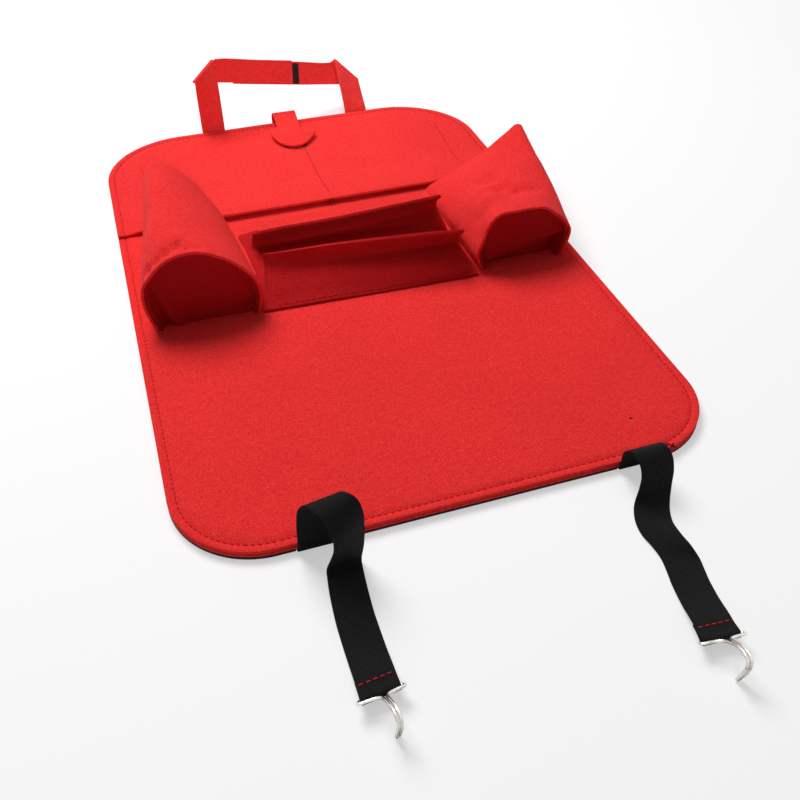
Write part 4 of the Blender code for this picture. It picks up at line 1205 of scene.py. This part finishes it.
# Wire hooks: forward and height over the bar, in millimetres, along the double shank
SHANK = [(10.3, 10.1), (16.0, 14.4), (21.0, 15.9), (24.3, 15.3), (26.1, 12.3), (26.3, 6.5), (23.5, -6.5)]
SHOULDER = [(1.5, 8.6), (2.6, 6.4), (4.8, 4.9), (8.0, 4.2)]


def wire_hook(name, bar, heading, slot, node, body):
    """One closed wire: bar, turns at its ends, shoulders, and two strands that curl down to the tip."""
    rise = Vector((0, -SHANK[0][0], SHANK[0][1])).normalized()
    half = [Vector((BAR_HALF / 2, 0, 0)), Vector((BAR_HALF, 0, 0))]
    for k in range(1, HOOK_BEND_STEPS + 1):
        angle = pi * k / HOOK_BEND_STEPS
        out = BAR_HALF + BAR_TURN * sin(angle)
        half.append(Vector((out, 0, 0)) + rise * (BAR_TURN * (1 - cos(angle))))
    shoulder = [Vector((u * MM, 0, 0)) + rise * (q * MM) for u, q in reversed(SHOULDER)]
    start = Vector((STRAND_OFFSET, -SHANK[0][0] * MM, SHANK[0][1] * MM))
    half += smooth([half[-1], *shoulder, start], 6)[1:]
    shank = [Vector((STRAND_OFFSET, -s * MM, h * MM)) for s, h in SHANK]
    half += smooth(shank, 8)[1:]
    down = (shank[-1] - shank[-2]).normalized()
    end = Vector((0, shank[-1].y, shank[-1].z))
    for k in range(1, 5):
        angle = pi / 2 * k / 5
        side = Vector((STRAND_OFFSET * cos(angle), 0, 0))
        half.append(end + side + down * (STRAND_OFFSET * sin(angle)))
    mirrored = [Vector((-p.x, p.y, p.z)) for p in reversed(half)]
    path = [Vector((0, 0, 0)), *half, end + down * STRAND_OFFSET, *mirrored]
    place = Matrix.Translation(panel_point(*bar)) @ Matrix.Rotation(radians(heading), 4, "Z")
    curve = bpy.data.curves.new(name, "CURVE")
    curve.dimensions = "3D"
    curve.bevel_depth = WIRE_RADIUS
    curve.bevel_resolution = 5
    line = curve.splines.new("POLY")
    line.points.add(len(path) - 1)
    for point, at in zip(line.points, path):
        point.co = (*(place @ at), 1.0)
    line.use_cyclic_u = True
    line.use_smooth = True
    curve.materials.append(NICKEL)
    obj = bpy.data.objects.new(name, curve)
    bpy.context.scene.collection.objects.link(obj)
    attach(obj, body)
    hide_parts(node)
    return obj


wire_hook("left_wire", *LEFT_BAR, "steel_left", "left_wire_hook", "left_hook")
wire_hook("right_wire", *RIGHT_BAR, "steel_right", "right_wire_hook", "right_hook")

# Stitches on the straps
STITCH_BACK = 0.0095
SEAM_SHARE = 0.9
END_PITCH = 0.0042
END_STITCH = 0.0034
END_THREAD = 0.00045
STRAP_PITCH = 0.0050
STRAP_SEAM_X = 17.5


def end_seam(name, bar, heading, pull, slot):
    """The bright stitches across an elastic strap, behind its hook."""
    forward, across, over = bar_ways(heading)
    place = panel_point(*bar) - pulled(pull) * STITCH_BACK + over * ((ELASTIC + LAYER_GAP) / 2 + ELASTIC / 2)
    half = ELASTIC_WIDTH / 2 * SEAM_SHARE
    line = [(place + across * (half * (k / 5 - 1)), over) for k in range(11)]
    stitches(name, line, BRIGHT_THREAD, END_PITCH, END_STITCH, END_THREAD)


end_seam("left_end_seam", *LEFT_BAR, LEFT_PULL, "elastic_left")
end_seam("right_end_seam", *RIGHT_BAR, RIGHT_PULL, "elastic_right")

low, high = on_run(STRAP_SEAM_X)
facing = (low - on_run(STRAP_SEAM_X, 0.01)[0]).normalized()
line = [(low.lerp(high, 0.12 + 0.76 * k / 8) + facing * STRAP / 2, facing) for k in range(9)]
stitches("strap_end_seam", line, BRIGHT_THREAD, STRAP_PITCH)


def loose_threads(name, middle, spread, count, length):
    """A knot of short dark thread ends."""
    dice = random.Random(name)
    bm = bmesh.new()
    for k in range(count):
        place = middle + Vector([dice.uniform(-1, 1) * s for s in spread])
        way = Vector((dice.uniform(-1, 1), dice.uniform(-1, 1), dice.uniform(-0.5, 0.5))).normalized()
        bead(bm, place - way * length / 2, place + way * length / 2, UP, THREAD_RADIUS)
    return dressed(name, as_mesh(name, bm), DARK_THREAD)


loose_threads("lip_knot", panel_point(6.5, 405.0, 4.2), (0.004, 0.0006, 0.0016), 9, 0.0042)
loose_threads("edge_tack", panel_point(149.5, 3.0, 0.2), (0.0035, 0.003, 0.0004), 10, 0.0050)

SPECK_SIZE = Matrix.Diagonal((0.0013, 0.0010, 0.0003, 1))
speck_place = panel_point(137, 37, 0)
speck_place.z = top_height(speck_place.x, speck_place.y)
bm = bmesh.new()
bmesh.ops.create_uvsphere(
    bm, u_segments=10, v_segments=8, radius=1.0, matrix=Matrix.Translation(speck_place) @ SPECK_SIZE
)
dressed("dark_speck", as_mesh("dark_speck", bm), SPECK)

# Floor, light and camera
FLOOR_HALF = 4.0
FLOOR_DROP = 0.0002
FADE_FROM, FADE_TO = 0.8, 2.0
FADE_NEAR, FADE_FAR = 0.5, 1.0
bm = bmesh.new()
bmesh.ops.create_grid(bm, x_segments=2, y_segments=2, size=FLOOR_HALF)
floor = bpy.data.objects.new("floor", as_mesh("floor", bm))
bpy.context.scene.collection.objects.link(floor)
white = bpy.data.materials.new("White paper")
white.use_nodes = True
paper = white.node_tree.nodes["Principled BSDF"]
paper.inputs["Base Color"].default_value = (0.97, 0.97, 0.972, 1)
paper.inputs["Roughness"].default_value = 0.9
paper.inputs["Specular IOR Level"].default_value = 0.1
glow = Nodes(white.node_tree)
lit = glow.add("ShaderNodeEmission", in_Color=(1, 1, 1, 1), in_Strength=1.0)
away = glow.add("ShaderNodeVectorMath", operation="LENGTH")
glow.join(glow.add("ShaderNodeTexCoord").outputs["Object"], away.inputs[0])
fade = glow.between(away.outputs["Value"], FADE_FROM, FADE_TO, FADE_NEAR, FADE_FAR)
share = glow.maths("MULTIPLY", glow.add("ShaderNodeLightPath").outputs["Is Camera Ray"], fade)
mixed = glow.add("ShaderNodeMixShader")
glow.join(share, mixed.inputs[0])
glow.join(paper.outputs[0], mixed.inputs[1])
glow.join(lit.outputs[0], mixed.inputs[2])
glow.join(mixed.outputs[0], white.node_tree.nodes["Material Output"].inputs["Surface"])
floor.data.materials.append(white)
floor.location.z = -FLOOR_DROP

world = bpy.data.worlds.new("White studio")
bpy.context.scene.world = world
world.use_nodes = True
sky = Nodes(world.node_tree)
plain = world.node_tree.nodes["Background"]
plain.inputs["Color"].default_value = (1, 1, 1, 1)
plain.inputs["Strength"].default_value = 0.16
backdrop = sky.add("ShaderNodeBackground", in_Color=(1, 1, 1, 1), in_Strength=1.0)
rays = sky.add("ShaderNodeLightPath").outputs
reflected = sky.maths("MAXIMUM", rays["Is Glossy Ray"], rays["Is Transmission Ray"])
seen = sky.maths("MAXIMUM", rays["Is Camera Ray"], reflected)
either = sky.add("ShaderNodeMixShader")
sky.join(seen, either.inputs[0])
sky.join(plain.outputs[0], either.inputs[1])
sky.join(backdrop.outputs[0], either.inputs[2])
sky.join(either.outputs[0], world.node_tree.nodes["World Output"].inputs["Surface"])


def lamp(name, kind, place, aim, power, **settings):
    light = bpy.data.lights.new(name, kind)
    light.energy = power
    for key, value in settings.items():
        setattr(light, key, value)
    obj = bpy.data.objects.new(name, light)
    bpy.context.scene.collection.objects.link(obj)
    obj.location = place
    obj.rotation_euler = (Vector(aim) - Vector(place)).to_track_quat("-Z", "Y").to_euler()


lamp("Softbox above and behind", "AREA", (-0.40, 1.10, 1.92), (0, 0, 0), 51.0, shape="DISK", size=1.35)
lamp(
    "Strap spot", "SPOT", (-0.15, -1.60, 0.85), (0.0, 0.335, 0.055), 62.0,
    spot_size=radians(9.5), spot_blend=0.45, shadow_soft_size=0.10,
)
lamp("Ceiling", "AREA", (0.1, 0.2, 2.4), (0, 0, 0), 5.0, shape="DISK", size=1.6)

# The photograph's camera, fitted to the panel's outline
CAMERA_PLACE = (-0.1763, -0.6681, 0.4667)
CAMERA_TILT, CAMERA_TURN = 47.63, -18.25
camera = bpy.data.cameras.new("Camera")
camera.lens = 40.5
camera.sensor_width = 36.0
camera.clip_start = 0.01
camera_obj = bpy.data.objects.new("Camera", camera)
bpy.context.scene.collection.objects.link(camera_obj)
camera_obj.location = CAMERA_PLACE
camera_obj.rotation_euler = (radians(CAMERA_TILT), 0, radians(CAMERA_TURN))
bpy.context.scene.camera = camera_obj
bpy.context.scene.view_settings.view_transform = "Standard"
